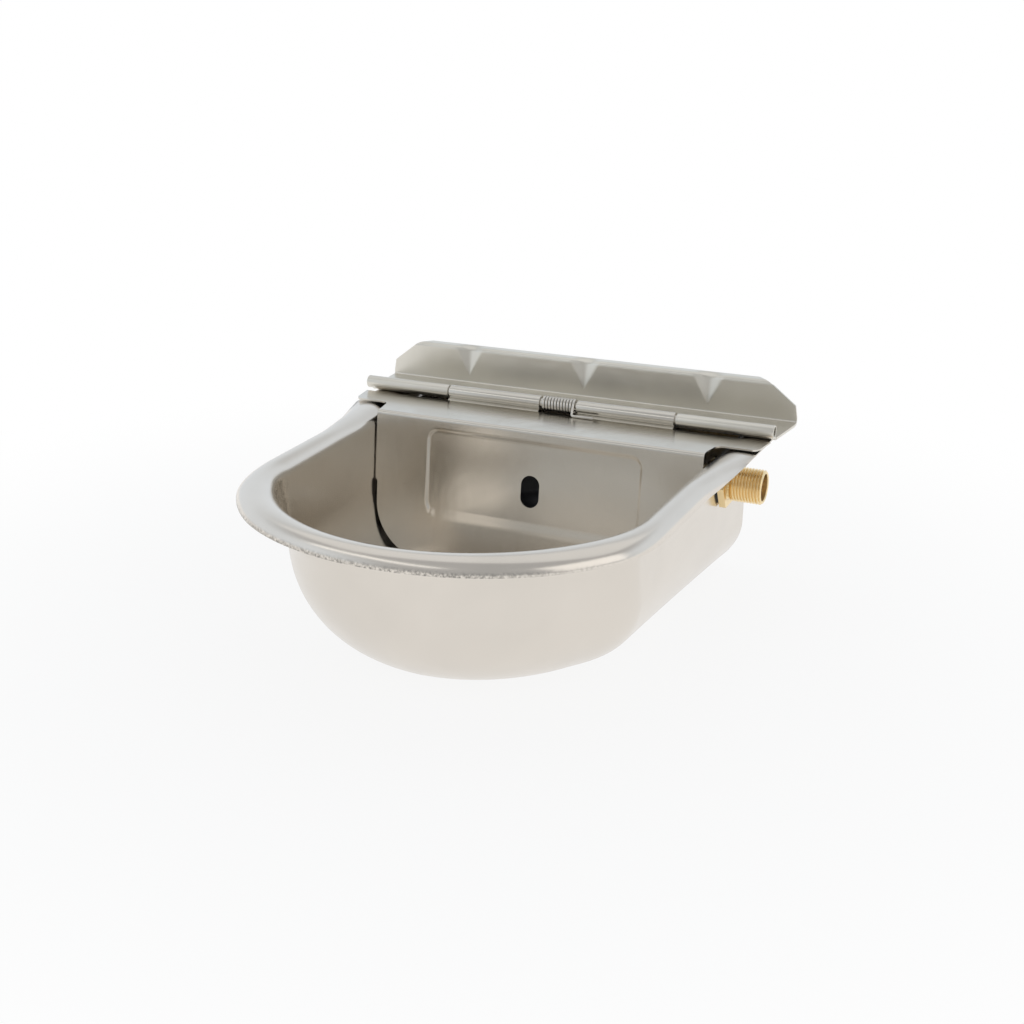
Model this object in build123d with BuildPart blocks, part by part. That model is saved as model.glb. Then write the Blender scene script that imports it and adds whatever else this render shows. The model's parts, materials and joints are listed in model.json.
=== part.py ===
"""Wall-mounted livestock drinking bowl with a sprung cover and a float valve.

Frame: X across the bowl, +Y towards the wall it hangs on, +Z up. The origin is
at the middle of the footprint, on the surface that the bowl stands on.
Units are millimetres.
"""
from build123d import *
from math import acos, atan2, cos, degrees, hypot, radians, sin, sqrt, tan
import os

# ---- driving dimensions -------------------------------------------------

# overall places
WALL_Y = 149.5              # back of the bowl, flat against the wall
HINGE_Y = 100.5             # hinge axis, parallel to X
HINGE_Z = 104.5

# drawn bowl
SHEET = 1.0                 # stainless sheet of bowl and cover
LIP_Z = 89.7                # centre of the half-round rolled lip
LIP_R = 8.2                 # outer radius of the rolled lip
LIP_FLARE = 0.06            # the lip's outer half is this much wider than round
LIP_FRONT_Y = -141.3        # crest of the lip at the front
LIP_FRONT_HALF = 112.8      # half width between crests where the front curve starts
LIP_REAR_HALF = 117.4       # half width between crests at the back
LIP_CORNER_R = 76.5         # plan radius of the front corners, at the crest
LIP_FRONT_R = 120.0         # plan radius of the front, at the crest
CORNER_OPENING = 0.12       # share by which the front corners grow rounder with depth
REAR_CORNER_R = 8.0         # upright corners at the wall
BACK_TRIM = 0.4             # formed this much too deep, then trimmed flat
SIDE_FOOT_REAR_R = 30.0     # rounding from side to bottom, at the back
SIDE_FOOT_FRONT_R = 52.0    # the same, where the front curve starts
REAR_FOOT_R = 25.0          # rounding from back to bottom
FRONT_FOOT_LENGTH = 64.5    # front profile: quarter ellipse, along Y
FRONT_FOOT_HEIGHT = 74.0    # front profile: quarter ellipse, along Z
FRONT_LEAN = 0.02           # how much the front leans in per mm of depth
FLANGE_START_Y = 5.5        # the lip starts to open out into a flat flange here
FLANGE_FLAT_Y = 76.5        # and is flat from here to the back
FLANGE_END_Y = 137.0
FLANGE_WIDTH = 16.2         # flat flange past the crest line at its front end
FLANGE_BEND_RUN = 14.4      # the wall leans out this far before the flange is flat
FLANGE_REAR_WIDTH = 16.8
WALL_HOLE_R = 4.5           # two screw holes in the back, above the water
WALL_HOLE_SPACING = 140.0
WALL_HOLE_Z = 84.0

# bracket with the outer hinge knuckles
BRACKET_SHEET = 1.5
BRACKET_HALF = 139.5        # half width at the foot of the upstand
UPSTAND_SIDE_TAPER = 1.3    # narrower by this where the cut corner starts
UPSTAND_CORNER_CUT = 17.8   # width of each cut top corner
UPSTAND_FRONT_Y = 142.0
UPSTAND_TOP_Z = 123.6
UPSTAND_SIDE_Z = 109.7
SHELF_TAPER = 3.7           # the shelf is this much narrower at its front
SHELF_FRONT_Y = 107.0
BEND_R = 2.6                # outside radius of the sheet bends
DART_HALF_WIDTH = 10.7
DART_HEIGHT = 19.4
DART_DEPTH = 4.6
DART_SPACING = 82.6

# hinge
PIN_R = 2.95
KNUCKLE_BORE_R = 3.0
OUTER_KNUCKLE_R = 4.0
INNER_KNUCKLE_R = 4.35
HINGE_HALF = 136.0
KNUCKLE_SPLIT = 76.0        # joint between outer and inner knuckles
KNUCKLE_GAP = 0.5
SPRING_GAP_HALF = 12.4
PIN_RECESS = 4.0

# cover with its baffle
COVER_TOP_Z = 99.8
COVER_FRONT_Y = 57.6        # bend line between flange and baffle
COVER_FRONT_HALF = 106.3
COVER_NOTCH_Y = 76.1        # front edge of the two ears
COVER_NOTCH_HALF = 107.8
COVER_NOTCH_R = 6.0
EAR_FRONT_HALF = 132.4
EAR_REAR_HALF = 135.2
EAR_TIP_R = 3.5
COVER_REAR_Y = 95.2
BAFFLE_TILT = 6.6           # degrees, foot forward
BAFFLE_LENGTH = 93.0
BAFFLE_STEP = 1.4           # the sides step in below the water line
BAFFLE_STEP_DEPTH = 44.0
BAFFLE_CORNER_R = 35.0
PANEL_HALF = 70.6           # pressed-in panel on the baffle
PANEL_TOP = 6.8
PANEL_BOTTOM = 61.6
PANEL_CORNER_R = 8.0
PANEL_DEPTH = 1.2
SLOT_WIDTH = 12.0
SLOT_HEIGHT = 20.0
SLOT_DEPTH = 38.2           # middle of the slot below the bend

# torsion spring of the cover
SPRING_WIRE = 1.7
SPRING_WIRE_SIDES = 6       # flats that stand in for the round wire
SPRING_MEAN_R = 4.1
SPRING_PITCH = 2.0
SPRING_TURNS = 10
SPRING_LEG = 14.0           # straight end that lies on the sheet
SPRING_LEG_BEND_R = 1.6
SPRING_LEG_ANGLE = 30.0     # both ends leave the coil this far above level
SPRING_LIFT = 0.1           # left between the rear leg and the shelf

# inlet and float valve
INLET_Y = 92.1
INLET_Z = 72.4
THREAD_R = 10.4775          # G1/2 pipe thread, 20.955 mm
INLET_END_X = 134.4
INLET_BORE_R = 8.2
INLET_HOLE_R = 10.8
FIT_GAP = 0.02              # round screwed and pushed fits
COLLAR_R = 14.0
COLLAR_LENGTH = 4.0
GASKET_R = 13.5
GASKET_THICKNESS = 2.0
WASHER_R = 13.0
WASHER_THICKNESS = 0.8
LOCK_NUT_FLATS = 27.0
LOCK_NUT_HEIGHT = 4.0
THREAD_RELIEF_R = 9.4       # groove between the lock nut and the hose thread
THREAD_RELIEF_LENGTH = 1.8
BARREL_R = 9.0
BARREL_LENGTH = 26.0
SEAT_LENGTH = 4.0
SEAT_NOSE_R = 3.6
SEAT_NOSE_LENGTH = 4.5
ORIFICE_R = 1.9
OUTLET_R = 1.9              # four outlet holes round the nose of the seat
PISTON_R = 5.45
PISTON_CLEARANCE = 0.05
PISTON_OVERHANG = 3.0       # solid end of the piston past the lever's finger
SEAL_R = 4.6
SEAL_LENGTH = 2.5
SEAL_STANDING = 0.5         # how far the seal stands out of the piston
PISTON_PLAY = 0.1           # left between seal and nose when shut
CHEEK_THICKNESS = 3.0       # the fork that carries the lever
CHEEK_GAP_HALF = 6.0
CHEEK_REACH = 16.0
CHEEK_ABOVE = 3.0
CHEEK_BELOW = 4.0           # past the pivot's centre
CHEEK_ROOT = 4.0            # how far the cheeks run back over the barrel
PIVOT_DROP = 10.0           # lever pivot below the piston axis
PIVOT_BACK = 8.5            # lever pivot from the end of the barrel
PIVOT_PIN_R = 1.5
PIVOT_CLEARANCE = 0.05
PIVOT_HEAD_R = 2.8
PIVOT_HEAD_LENGTH = 1.2
PIVOT_TAIL = 1.0            # past the clip
CLIP_R = 3.2
CLIP_THICKNESS = 0.8

# lever, rod and float, measured along the arm from the pivot
ARM_SWING = 25.0            # degrees from hanging to shut
LEVER_HUB_R = 3.9
LEVER_SIDE_GAP = 0.2        # between the hub and each cheek
FINGER_R = 2.0              # round tip of the finger that moves the piston
FINGER_NECK_HALF = 1.5
FINGER_HALF_WIDTH = 1.6
FINGER_CLEARANCE = 0.3
FINGER_SLOT_TOP = 2.8
FINGER_RELIEF_HALF = 3.2    # wider mouth under the piston for the tilting neck
WEB_HALF_HEIGHT = 2.8
WEB_HALF_WIDTH = 3.8
BOSS_R = 3.8
BOSS_START = 5.0
BOSS_END = 20.0
ROD_R = 2.0
ROD_START = 8.0
ROD_NUT_FLATS = 7.0
ROD_NUT_HEIGHT = 3.2
ROD_TAIL = 2.3              # rod past the last nut
FLOAT_START = 34.0
FLOAT_LENGTH = 62.0
FLOAT_HALF_WIDTH = 28.0
FLOAT_ABOVE = 10.0          # above and below the rod
FLOAT_BELOW = 27.0
FLOAT_EDGE_R = 8.0
FLOAT_WASHER_R = 5.5
FLOAT_WASHER_THICKNESS = 1.0

# ---- values worked out from them ----------------------------------------

CREST_Z = LIP_Z + LIP_R
WALL_INSET = LIP_R - SHEET          # crest line to the outside of the bowl wall
UPSTAND_SIDE_HALF = BRACKET_HALF - UPSTAND_SIDE_TAPER
UPSTAND_TOP_HALF = UPSTAND_SIDE_HALF - UPSTAND_CORNER_CUT
SHELF_FRONT_HALF = BRACKET_HALF - SHELF_TAPER


def side_tangent(rear_half, rear_y, front_half, front_y, corner_r, front_r):
    """Centres and touching points of the side line, corner arc and front arc."""
    front_centre = (0.0, front_y + front_r)
    corner_x = front_half - corner_r
    corner_y = front_centre[1] - sqrt((front_r - corner_r) ** 2 - corner_x**2)
    reach_x = rear_half - corner_x
    reach_y = rear_y - corner_y
    turn = atan2(reach_y, reach_x) - acos(corner_r / hypot(reach_x, reach_y))
    side_point = (corner_x + corner_r * cos(turn), corner_y + corner_r * sin(turn))
    lean = atan2(corner_y - front_centre[1], corner_x)
    middle = (turn + lean) / 2
    corner_point = (corner_x + corner_r * cos(middle), corner_y + corner_r * sin(middle))
    front_point = (front_r * cos(lean), front_centre[1] + front_r * sin(lean))
    return side_point, corner_point, front_point


def foot_inset(depth, full_depth, radius):
    """How far a rounding of this radius has come in at this depth."""
    below = depth - (full_depth - radius)
    return radius - sqrt(radius**2 - min(below, radius) ** 2) if below > 0 else 0.0


def front_inset(depth, full_depth, length, height):
    below = depth - (full_depth - height)
    lean = FRONT_LEAN * depth
    return lean + (length * (1 - sqrt(1 - min(below / height, 1) ** 2)) if below > 0 else 0.0)


def bowl_outline(depth, wall):
    """D-shaped section of the bowl at a depth below the lip's centre.

    wall is 0 for the outer face of the sheet, and the sheet's thickness for the
    inner face: every width and rounding is then smaller by that much.
    """
    full_depth = LIP_Z - wall
    rear_half = LIP_REAR_HALF - WALL_INSET - wall
    rear_half -= foot_inset(depth, full_depth, SIDE_FOOT_REAR_R - wall)
    front_half = LIP_FRONT_HALF - WALL_INSET - wall
    front_half -= foot_inset(depth, full_depth, SIDE_FOOT_FRONT_R - wall)
    front_y = LIP_FRONT_Y + WALL_INSET + wall
    front_y += front_inset(depth, full_depth, FRONT_FOOT_LENGTH - wall, FRONT_FOOT_HEIGHT - wall)
    rear_y = WALL_Y + BACK_TRIM - wall - foot_inset(depth, full_depth, REAR_FOOT_R - wall)
    shrink = front_half / (LIP_FRONT_HALF - WALL_INSET - wall)
    corner_r = (LIP_CORNER_R - WALL_INSET - wall) * shrink * (1 + CORNER_OPENING * depth / LIP_Z)
    front_r = (LIP_FRONT_R - WALL_INSET - wall) * shrink
    rear_r = REAR_CORNER_R - wall
    side_rear_y = rear_y - rear_r
    side_point, corner_point, front_point = side_tangent(
        rear_half, side_rear_y, front_half, front_y, corner_r, front_r
    )
    with BuildSketch(Plane.XY.offset(LIP_Z - depth), mode=Mode.PRIVATE) as outline:
        with BuildLine():
            back = Line((0, rear_y), (rear_half - rear_r, rear_y))
            bend = RadiusArc(back @ 1, (rear_half, side_rear_y), rear_r)
            side = Line(bend @ 1, side_point)
            corner = ThreePointArc(side @ 1, corner_point, front_point)
            TangentArc(corner @ 1, (0, front_y), tangent=corner % 1)
            mirror(about=Plane.YZ)
        make_face()
    return outline.sketch


def lip_plane(point, tangent):
    """Section plane of the lip: local x outwards, local y up."""
    outward = Vector(-tangent.Y, tangent.X, 0)
    if outward.X * point[0] < 0:
        outward = -outward
    return Plane(origin=(point[0], point[1], LIP_Z), x_dir=outward, z_dir=outward.cross(Vector(0, 0, 1)))


def arc_about(centre, radius, start, end, height=None):
    """Arc of a circle, or of an ellipse if it has a height, between two angles in degrees."""
    height = radius if height is None else height
    points = [
        (centre[0] + radius * cos(radians(angle)), centre[1] + height * sin(radians(angle)))
        for angle in (start, (start + end) / 2, end)
    ]
    if height == radius:
        return ThreePointArc(*points)
    ends = ((0, 1), (1, 0)) if start > end else ((-1, 0), (0, -1))
    return Spline(points, tangents=ends)


def lip_section(plane, width, drop, rise):
    """Sheet that rises from the wall over a run of rise, turns over and ends width out, drop down."""
    crest_x = rise - LIP_R
    run = width - crest_x
    over_r = (run**2 + drop**2) / (2 * drop)
    over_y = LIP_R - over_r
    end_angle = degrees(atan2(over_r - drop, run))
    with BuildSketch(plane, mode=Mode.PRIVATE) as section:
        with BuildLine():
            climb = arc_about((crest_x, 0), rise, 180, 90, LIP_R)
            turn = arc_about((crest_x, over_y), over_r, 90, end_angle)
            back = arc_about((crest_x, over_y), over_r - SHEET, end_angle, 90)
            fall = arc_about((crest_x, 0), rise - SHEET, 90, 180, LIP_R - SHEET)
            Line(turn @ 1, back @ 0)
            Line(fall @ 1, climb @ 0)
        make_face()
    return section.sketch


def tube(plane, outer_r, inner_r, length):
    """Round tube standing on a plane."""
    with BuildPart(plane, mode=Mode.PRIVATE) as made:
        with BuildSketch(plane):
            Circle(outer_r)
            Circle(inner_r, mode=Mode.SUBTRACT)
        extrude(amount=length)
    return made.part


def hex_nut(plane, flats, bore_r, height):
    """Hexagon nut on a plane, with its corners turned off on both faces."""
    with BuildPart(mode=Mode.PRIVATE) as made:
        with BuildSketch(plane):
            RegularPolygon(flats / 2, 6, major_radius=False)
            Circle(bore_r, mode=Mode.SUBTRACT)
        extrude(amount=height)
        with BuildSketch(plane):
            Circle(flats / sqrt(3) * 0.985)
        extrude(amount=height, mode=Mode.INTERSECT)
    return made.part


# ---- bowl ---------------------------------------------------------------

foot_steps = [0, 12, 24, 38, 50, 62, 72, 81, 90]
bowl_depths = [0.0, 0.4 * (LIP_Z - SIDE_FOOT_FRONT_R), 0.75 * (LIP_Z - SIDE_FOOT_FRONT_R)]
bowl_depths += [LIP_Z - SIDE_FOOT_FRONT_R * (1 - sin(radians(step))) for step in foot_steps]
inner_scale = (LIP_Z - SHEET) / LIP_Z

crest_side, crest_corner, crest_front = side_tangent(
    LIP_REAR_HALF, WALL_Y - REAR_CORNER_R, LIP_FRONT_HALF, LIP_FRONT_Y, LIP_CORNER_R, LIP_FRONT_R
)
side_slope = (LIP_REAR_HALF - crest_side[0]) / (WALL_Y - REAR_CORNER_R - crest_side[1])


def crest_half(y):
    """Half width between the crest lines on the straight sides."""
    return crest_side[0] + side_slope * (y - crest_side[1])


side_tangent_dir = Vector(side_slope, 1, 0).normalized()
lip_stations = [
    (FLANGE_START_Y, LIP_R + LIP_FLARE, LIP_R, LIP_R + LIP_FLARE),
    (FLANGE_START_Y + 30, 11.0, 6.6, 11.2),
    (FLANGE_START_Y + 52, 14.2, 3.4, 13.8),
    (FLANGE_FLAT_Y, FLANGE_WIDTH, 0.4, FLANGE_BEND_RUN),
]

# solid forms of the drawn shell, trimmed flat at the back
outer_form = loft([bowl_outline(depth, 0.0) for depth in bowl_depths])
inner_form = loft([bowl_outline(depth * inner_scale, SHEET) for depth in bowl_depths])
back_plane = Plane.XZ.offset(-WALL_Y)
inner_back_plane = Plane.XZ.offset(SHEET - WALL_Y)
outer_form = split(outer_form, bisect_by=back_plane, keep=Keep.TOP)
inner_form = split(inner_form, bisect_by=inner_back_plane, keep=Keep.TOP)
# the back wall goes on up to the bracket, round both upright corners
ring_outside = split(extrude(bowl_outline(0.0, 0.0), amount=LIP_R), bisect_by=back_plane, keep=Keep.TOP)
ring_inside = split(extrude(bowl_outline(0.0, SHEET), amount=LIP_R), bisect_by=inner_back_plane, keep=Keep.TOP)
back_ring = split(ring_outside - ring_inside, bisect_by=Plane.XZ.offset(-FLANGE_END_Y), keep=Keep.BOTTOM)

with BuildPart() as bowl:
    add(outer_form)
    add(inner_form, mode=Mode.SUBTRACT)
    add(back_ring)
    # half-round lip along the front and the sides
    with BuildLine(Plane.XY.offset(LIP_Z)) as crest:
        lip_end = (crest_half(FLANGE_START_Y), FLANGE_START_Y)
        side_line = Line(lip_end, crest_side)
        corner_arc = ThreePointArc(crest_side, crest_corner, crest_front)
        TangentArc(crest_front, (0, LIP_FRONT_Y), tangent=corner_arc % 1)
        mirror(about=Plane.YZ)
    right_plane = lip_plane(lip_end, side_tangent_dir)
    add(lip_section(right_plane, LIP_R + LIP_FLARE, LIP_R, LIP_R + LIP_FLARE))
    sweep(path=crest.wire())
    # the lip opens out into a flat flange under the hinge
    for stations in (lip_stations, [lip_stations[-1], (FLANGE_END_Y, FLANGE_REAR_WIDTH, 0.4, FLANGE_BEND_RUN)]):
        for mirrored in (False, True):
            opening = loft(
                [
                    lip_section(lip_plane((crest_half(y), y), side_tangent_dir), width, drop, rise)
                    for y, width, drop, rise in stations
                ],
                mode=Mode.PRIVATE,
            )
            add(mirror(opening, about=Plane.YZ, mode=Mode.PRIVATE) if mirrored else opening)
    # screw holes in the back and the inlet hole in the right side
    with Locations(Plane((0, WALL_Y, WALL_HOLE_Z), x_dir=(1, 0, 0), z_dir=(0, 1, 0))):
        with GridLocations(WALL_HOLE_SPACING, 0, 2, 1):
            Hole(WALL_HOLE_R, depth=4 * SHEET)
    with Locations(Plane((crest_half(INLET_Y), INLET_Y, INLET_Z), z_dir=(1, 0, 0))):
        Hole(INLET_HOLE_R, depth=4 * LIP_R)
bowl.part.label = "bowl"


# ---- bracket and outer knuckles -----------------------------------------

SHELF_BOTTOM_Z = CREST_Z
SHELF_TOP_Z = SHELF_BOTTOM_Z + BRACKET_SHEET


def knuckle_leaf(start_x, end_x, outer_r, sheet, leaf_top_z, leaf_y):
    """Rolled eye about the hinge axis, with the joggle that leads to its flat leaf."""
    side = 1 if leaf_y > HINGE_Y else -1
    under_z = HINGE_Z - outer_r
    with BuildPart(mode=Mode.PRIVATE) as knuckle:
        with BuildSketch(Plane.YZ.offset(start_x)):
            with BuildLine():
                Polyline(
                    (HINGE_Y, under_z),
                    (HINGE_Y + side * 0.5 * outer_r, HINGE_Z - 0.8 * outer_r),
                    (HINGE_Y + side * (outer_r + 1.6), leaf_top_z),
                    (leaf_y, leaf_top_z),
                    (leaf_y, leaf_top_z - sheet),
                    (HINGE_Y + side * (outer_r + 1.0), leaf_top_z - sheet),
                    close=True,
                )
            make_face()
            with Locations((HINGE_Y, HINGE_Z)):
                Circle(outer_r)
                Circle(KNUCKLE_BORE_R, mode=Mode.SUBTRACT)
        extrude(amount=end_x - start_x)
    return knuckle.part


# pressed darts that stiffen the top bend: a corner wedge goes in, its back stands out
def dart(extra):
    """Wedge whose mouth lies on the top bend and whose point is down the face."""
    base_y = UPSTAND_FRONT_Y
    half = DART_HALF_WIDTH + extra
    left = Vector(-half, base_y, UPSTAND_TOP_Z)
    right = Vector(half, base_y, UPSTAND_TOP_Z)
    point = Vector(0, base_y, UPSTAND_TOP_Z - DART_HEIGHT - 1.6 * extra)
    crease = Vector(0, base_y + DART_DEPTH + extra, UPSTAND_TOP_Z)
    faces = [
        Face(Polyline(*corners, close=True).wire())
        for corners in (
            (left, right, point),
            (left, crease, point),
            (right, crease, point),
            (left, right, crease),
        )
    ]
    return Solid(Shell(faces))


dart_hollow = dart(0.0)
dart_back = split(dart(BRACKET_SHEET), bisect_by=Plane.XZ.offset(-UPSTAND_FRONT_Y - 0.5), keep=Keep.BOTTOM)

with BuildPart() as rear_bracket:
    # shelf, upstand and the short lip that turns back to the wall
    with BuildSketch(Plane.YZ) as bracket_profile:
        with BuildLine():
            FilletPolyline(
                (SHELF_FRONT_Y, SHELF_BOTTOM_Z),
                (UPSTAND_FRONT_Y + BRACKET_SHEET, SHELF_BOTTOM_Z),
                (UPSTAND_FRONT_Y + BRACKET_SHEET, UPSTAND_TOP_Z - BRACKET_SHEET),
                (WALL_Y, UPSTAND_TOP_Z - BRACKET_SHEET),
                radius=[BEND_R, BEND_R - BRACKET_SHEET],
            )
            Line((WALL_Y, UPSTAND_TOP_Z - BRACKET_SHEET), (WALL_Y, UPSTAND_TOP_Z))
            FilletPolyline(
                (WALL_Y, UPSTAND_TOP_Z),
                (UPSTAND_FRONT_Y, UPSTAND_TOP_Z),
                (UPSTAND_FRONT_Y, SHELF_TOP_Z),
                (SHELF_FRONT_Y, SHELF_TOP_Z),
                radius=[BEND_R, BEND_R - BRACKET_SHEET],
            )
            Line((SHELF_FRONT_Y, SHELF_TOP_Z), (SHELF_FRONT_Y, SHELF_BOTTOM_Z))
        make_face()
    extrude(amount=BRACKET_HALF, both=True)
    # plan: the shelf's sides run in towards the hinge
    with BuildSketch(Plane.XY.offset(SHELF_BOTTOM_Z - 1)):
        for side in (-1, 1):
            with BuildLine():
                Polyline(
                    (side * SHELF_FRONT_HALF, SHELF_FRONT_Y - 1),
                    (side * BRACKET_HALF, UPSTAND_FRONT_Y - 6),
                    (side * (BRACKET_HALF + 5), UPSTAND_FRONT_Y - 6),
                    (side * (BRACKET_HALF + 5), SHELF_FRONT_Y - 1),
                    close=True,
                )
            make_face()
    extrude(amount=8, mode=Mode.SUBTRACT)
    # front view: cut top corners
    with BuildSketch(Plane.XZ.offset(-WALL_Y - 1)):
        for side in (-1, 1):
            with BuildLine():
                Polyline(
                    (side * UPSTAND_TOP_HALF, UPSTAND_TOP_Z + 1),
                    (side * UPSTAND_TOP_HALF, UPSTAND_TOP_Z),
                    (side * UPSTAND_SIDE_HALF, UPSTAND_SIDE_Z),
                    (side * BRACKET_HALF, SHELF_TOP_Z + BEND_R),
                    (side * (BRACKET_HALF + 5), SHELF_TOP_Z + BEND_R),
                    (side * (BRACKET_HALF + 5), UPSTAND_TOP_Z + 1),
                    close=True,
                )
            make_face()
    extrude(amount=WALL_Y - UPSTAND_FRONT_Y + 5, mode=Mode.SUBTRACT)
    # three darts across the top bend
    with Locations([(offset_x, 0, 0) for offset_x in (-DART_SPACING, 0, DART_SPACING)]):
        add(dart_back)
        add(dart_hollow, mode=Mode.SUBTRACT)
    # outer knuckles, rolled from the shelf's front edge
    for side in (-1, 1):
        ends = sorted((side * (KNUCKLE_SPLIT + KNUCKLE_GAP / 2), side * HINGE_HALF))
        add(knuckle_leaf(*ends, OUTER_KNUCKLE_R, BRACKET_SHEET, SHELF_TOP_Z, SHELF_FRONT_Y + 0.5))
rear_bracket.part.label = "rear_bracket"


# ---- cover: flange, ears, notches, knuckles and the tilted baffle --------

COVER_BOTTOM_Z = COVER_TOP_Z - SHEET
baffle_tilt = radians(BAFFLE_TILT)
baffle_plane = Plane(
    origin=(0, COVER_FRONT_Y, COVER_TOP_Z),
    x_dir=(1, 0, 0),
    z_dir=(0, -cos(baffle_tilt), sin(baffle_tilt)),
)
inside_bend_y = COVER_FRONT_Y + SHEET * (1 - sin(baffle_tilt)) / cos(baffle_tilt)
foot_y = COVER_FRONT_Y - BAFFLE_LENGTH * sin(baffle_tilt)
foot_z = COVER_TOP_Z - BAFFLE_LENGTH * cos(baffle_tilt)
sheet_back = (SHEET * cos(baffle_tilt), -SHEET * sin(baffle_tilt))

with BuildPart() as cover:
    # bent sheet: flange and baffle in one strip
    with BuildSketch(Plane.YZ):
        with BuildLine():
            outside = FilletPolyline(
                (COVER_REAR_Y, COVER_TOP_Z),
                (COVER_FRONT_Y, COVER_TOP_Z),
                (foot_y, foot_z),
                radius=BEND_R,
            )
            inside = FilletPolyline(
                (foot_y + sheet_back[0], foot_z + sheet_back[1]),
                (inside_bend_y, COVER_BOTTOM_Z),
                (COVER_REAR_Y, COVER_BOTTOM_Z),
                radius=BEND_R - SHEET,
            )
            Line(outside @ 1, inside @ 0)
            Line(inside @ 1, outside @ 0)
        make_face()
    extrude(amount=COVER_FRONT_HALF, both=True)
    # outline of the baffle: sides step in, lower corners follow the bowl
    with BuildSketch(baffle_plane):
        with BuildLine():
            lower_half = COVER_FRONT_HALF - BAFFLE_STEP
            across = Line((0, -BAFFLE_LENGTH), (lower_half - BAFFLE_CORNER_R, -BAFFLE_LENGTH))
            round_off = JernArc(across @ 1, (1, 0), BAFFLE_CORNER_R, 90)
            Polyline(
                round_off @ 1,
                (lower_half, -BAFFLE_STEP_DEPTH - BAFFLE_STEP),
                (COVER_FRONT_HALF, -BAFFLE_STEP_DEPTH),
                (COVER_FRONT_HALF + 5, -BAFFLE_STEP_DEPTH),
                (COVER_FRONT_HALF + 5, -BAFFLE_LENGTH - 5),
                (0, -BAFFLE_LENGTH - 5),
            )
            mirror(about=Plane.YZ)
        make_face()
    extrude(amount=4 * SHEET, both=True, mode=Mode.SUBTRACT)
    # panel pressed back into the baffle
    panel_height = PANEL_BOTTOM - PANEL_TOP
    panel_middle = -(PANEL_TOP + PANEL_BOTTOM) / 2
    with BuildSketch(baffle_plane.offset(-SHEET)):
        with Locations((0, panel_middle)):
            RectangleRounded(2 * PANEL_HALF, panel_height, PANEL_CORNER_R)
    extrude(amount=-PANEL_DEPTH, taper=30)
    with BuildSketch(baffle_plane):
        with Locations((0, panel_middle)):
            RectangleRounded(2 * PANEL_HALF - SHEET, panel_height - SHEET, PANEL_CORNER_R)
    extrude(amount=-PANEL_DEPTH, taper=30, mode=Mode.SUBTRACT)
    with BuildSketch(baffle_plane):
        with Locations((0, -SLOT_DEPTH)):
            SlotOverall(SLOT_HEIGHT, SLOT_WIDTH, rotation=90)
    extrude(amount=4 * SHEET, both=True, mode=Mode.SUBTRACT)
    # ears: the flange widens behind the two notches
    with BuildSketch(Plane.XY.offset(COVER_BOTTOM_Z)) as ears:
        with BuildLine():
            Polyline(
                (0, COVER_NOTCH_Y),
                (EAR_FRONT_HALF, COVER_NOTCH_Y),
                (EAR_REAR_HALF, COVER_REAR_Y),
                (0, COVER_REAR_Y),
            )
            mirror(about=Plane.YZ)
        make_face()
        fillet(ears.vertices().group_by(Axis.Y)[0], EAR_TIP_R)
        with BuildLine():
            Polyline(
                (0, COVER_FRONT_Y + 2 * BEND_R),
                (COVER_FRONT_HALF, COVER_FRONT_Y + 2 * BEND_R),
                (COVER_NOTCH_HALF, COVER_NOTCH_Y),
                (0, COVER_NOTCH_Y),
            )
            mirror(about=Plane.YZ)
        make_face()
        notch = [
            corner
            for corner in ears.vertices()
            if abs(abs(corner.X) - COVER_NOTCH_HALF) < 0.1 and abs(corner.Y - COVER_NOTCH_Y) < 0.1
        ]
        fillet(notch, COVER_NOTCH_R)
    extrude(amount=SHEET)
    # inner knuckles, rolled from the flange's rear edge
    for side in (-1, 1):
        ends = sorted((side * SPRING_GAP_HALF, side * (KNUCKLE_SPLIT - KNUCKLE_GAP / 2)))
        add(knuckle_leaf(*ends, INNER_KNUCKLE_R, SHEET, COVER_TOP_Z, COVER_REAR_Y - 0.5))
cover.part.label = "cover"

# ---- hinge pin and torsion spring ---------------------------------------

pin_half = HINGE_HALF - PIN_RECESS
with BuildPart() as hinge_pin:
    with BuildSketch(Plane.YZ.offset(-pin_half)):
        with Locations((HINGE_Y, HINGE_Z)):
            Circle(PIN_R)
    extrude(amount=2 * pin_half)
    chamfer(hinge_pin.edges().filter_by(GeomType.CIRCLE), 0.4)
hinge_pin.part.label = "hinge_pin"

# both ends of the coil run down on to the sheet and then along the hinge
leave = radians(SPRING_LEG_ANGLE)
coil_length = (SPRING_TURNS + (180 - 2 * SPRING_LEG_ANGLE) / 360) * SPRING_PITCH
coil_plane = Plane(
    origin=(-coil_length / 2, HINGE_Y, HINGE_Z),
    x_dir=(0, cos(leave), sin(leave)),
    z_dir=(1, 0, 0),
)
coil = coil_plane * Helix(SPRING_PITCH, coil_length, SPRING_MEAN_R)


def spring_leg(start, direction, sheet_z, reach):
    """Path off the end of the coil, down to the sheet and along it."""
    landing = start + direction * ((sheet_z + SPRING_WIRE / 2 - start.Z) / direction.Z)
    end = landing + Vector(reach, 0, 0)
    return FilletPolyline(start, landing, end, radius=SPRING_LEG_BEND_R)


front_leg = spring_leg(coil @ 1, coil % 1, COVER_TOP_Z, SPRING_LEG)
rear_leg = spring_leg(coil @ 0, -(coil % 0), SHELF_TOP_Z + SPRING_LIFT, -SPRING_LEG)

with BuildPart() as lid_spring:
    with BuildSketch(Plane(origin=coil @ 0, z_dir=coil % 0)):
        RegularPolygon(SPRING_WIRE / 2, SPRING_WIRE_SIDES)
    sweep(path=coil, is_frenet=True)
    wire_ends = lid_spring.faces().filter_by(GeomType.PLANE)
    for path in (front_leg, rear_leg):
        sweep(wire_ends.sort_by_distance(path @ 0)[0], path=path)
lid_spring.part.label = "lid_spring"

# ---- inlet and valve, on an axis parallel to X ---------------------------


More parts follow.
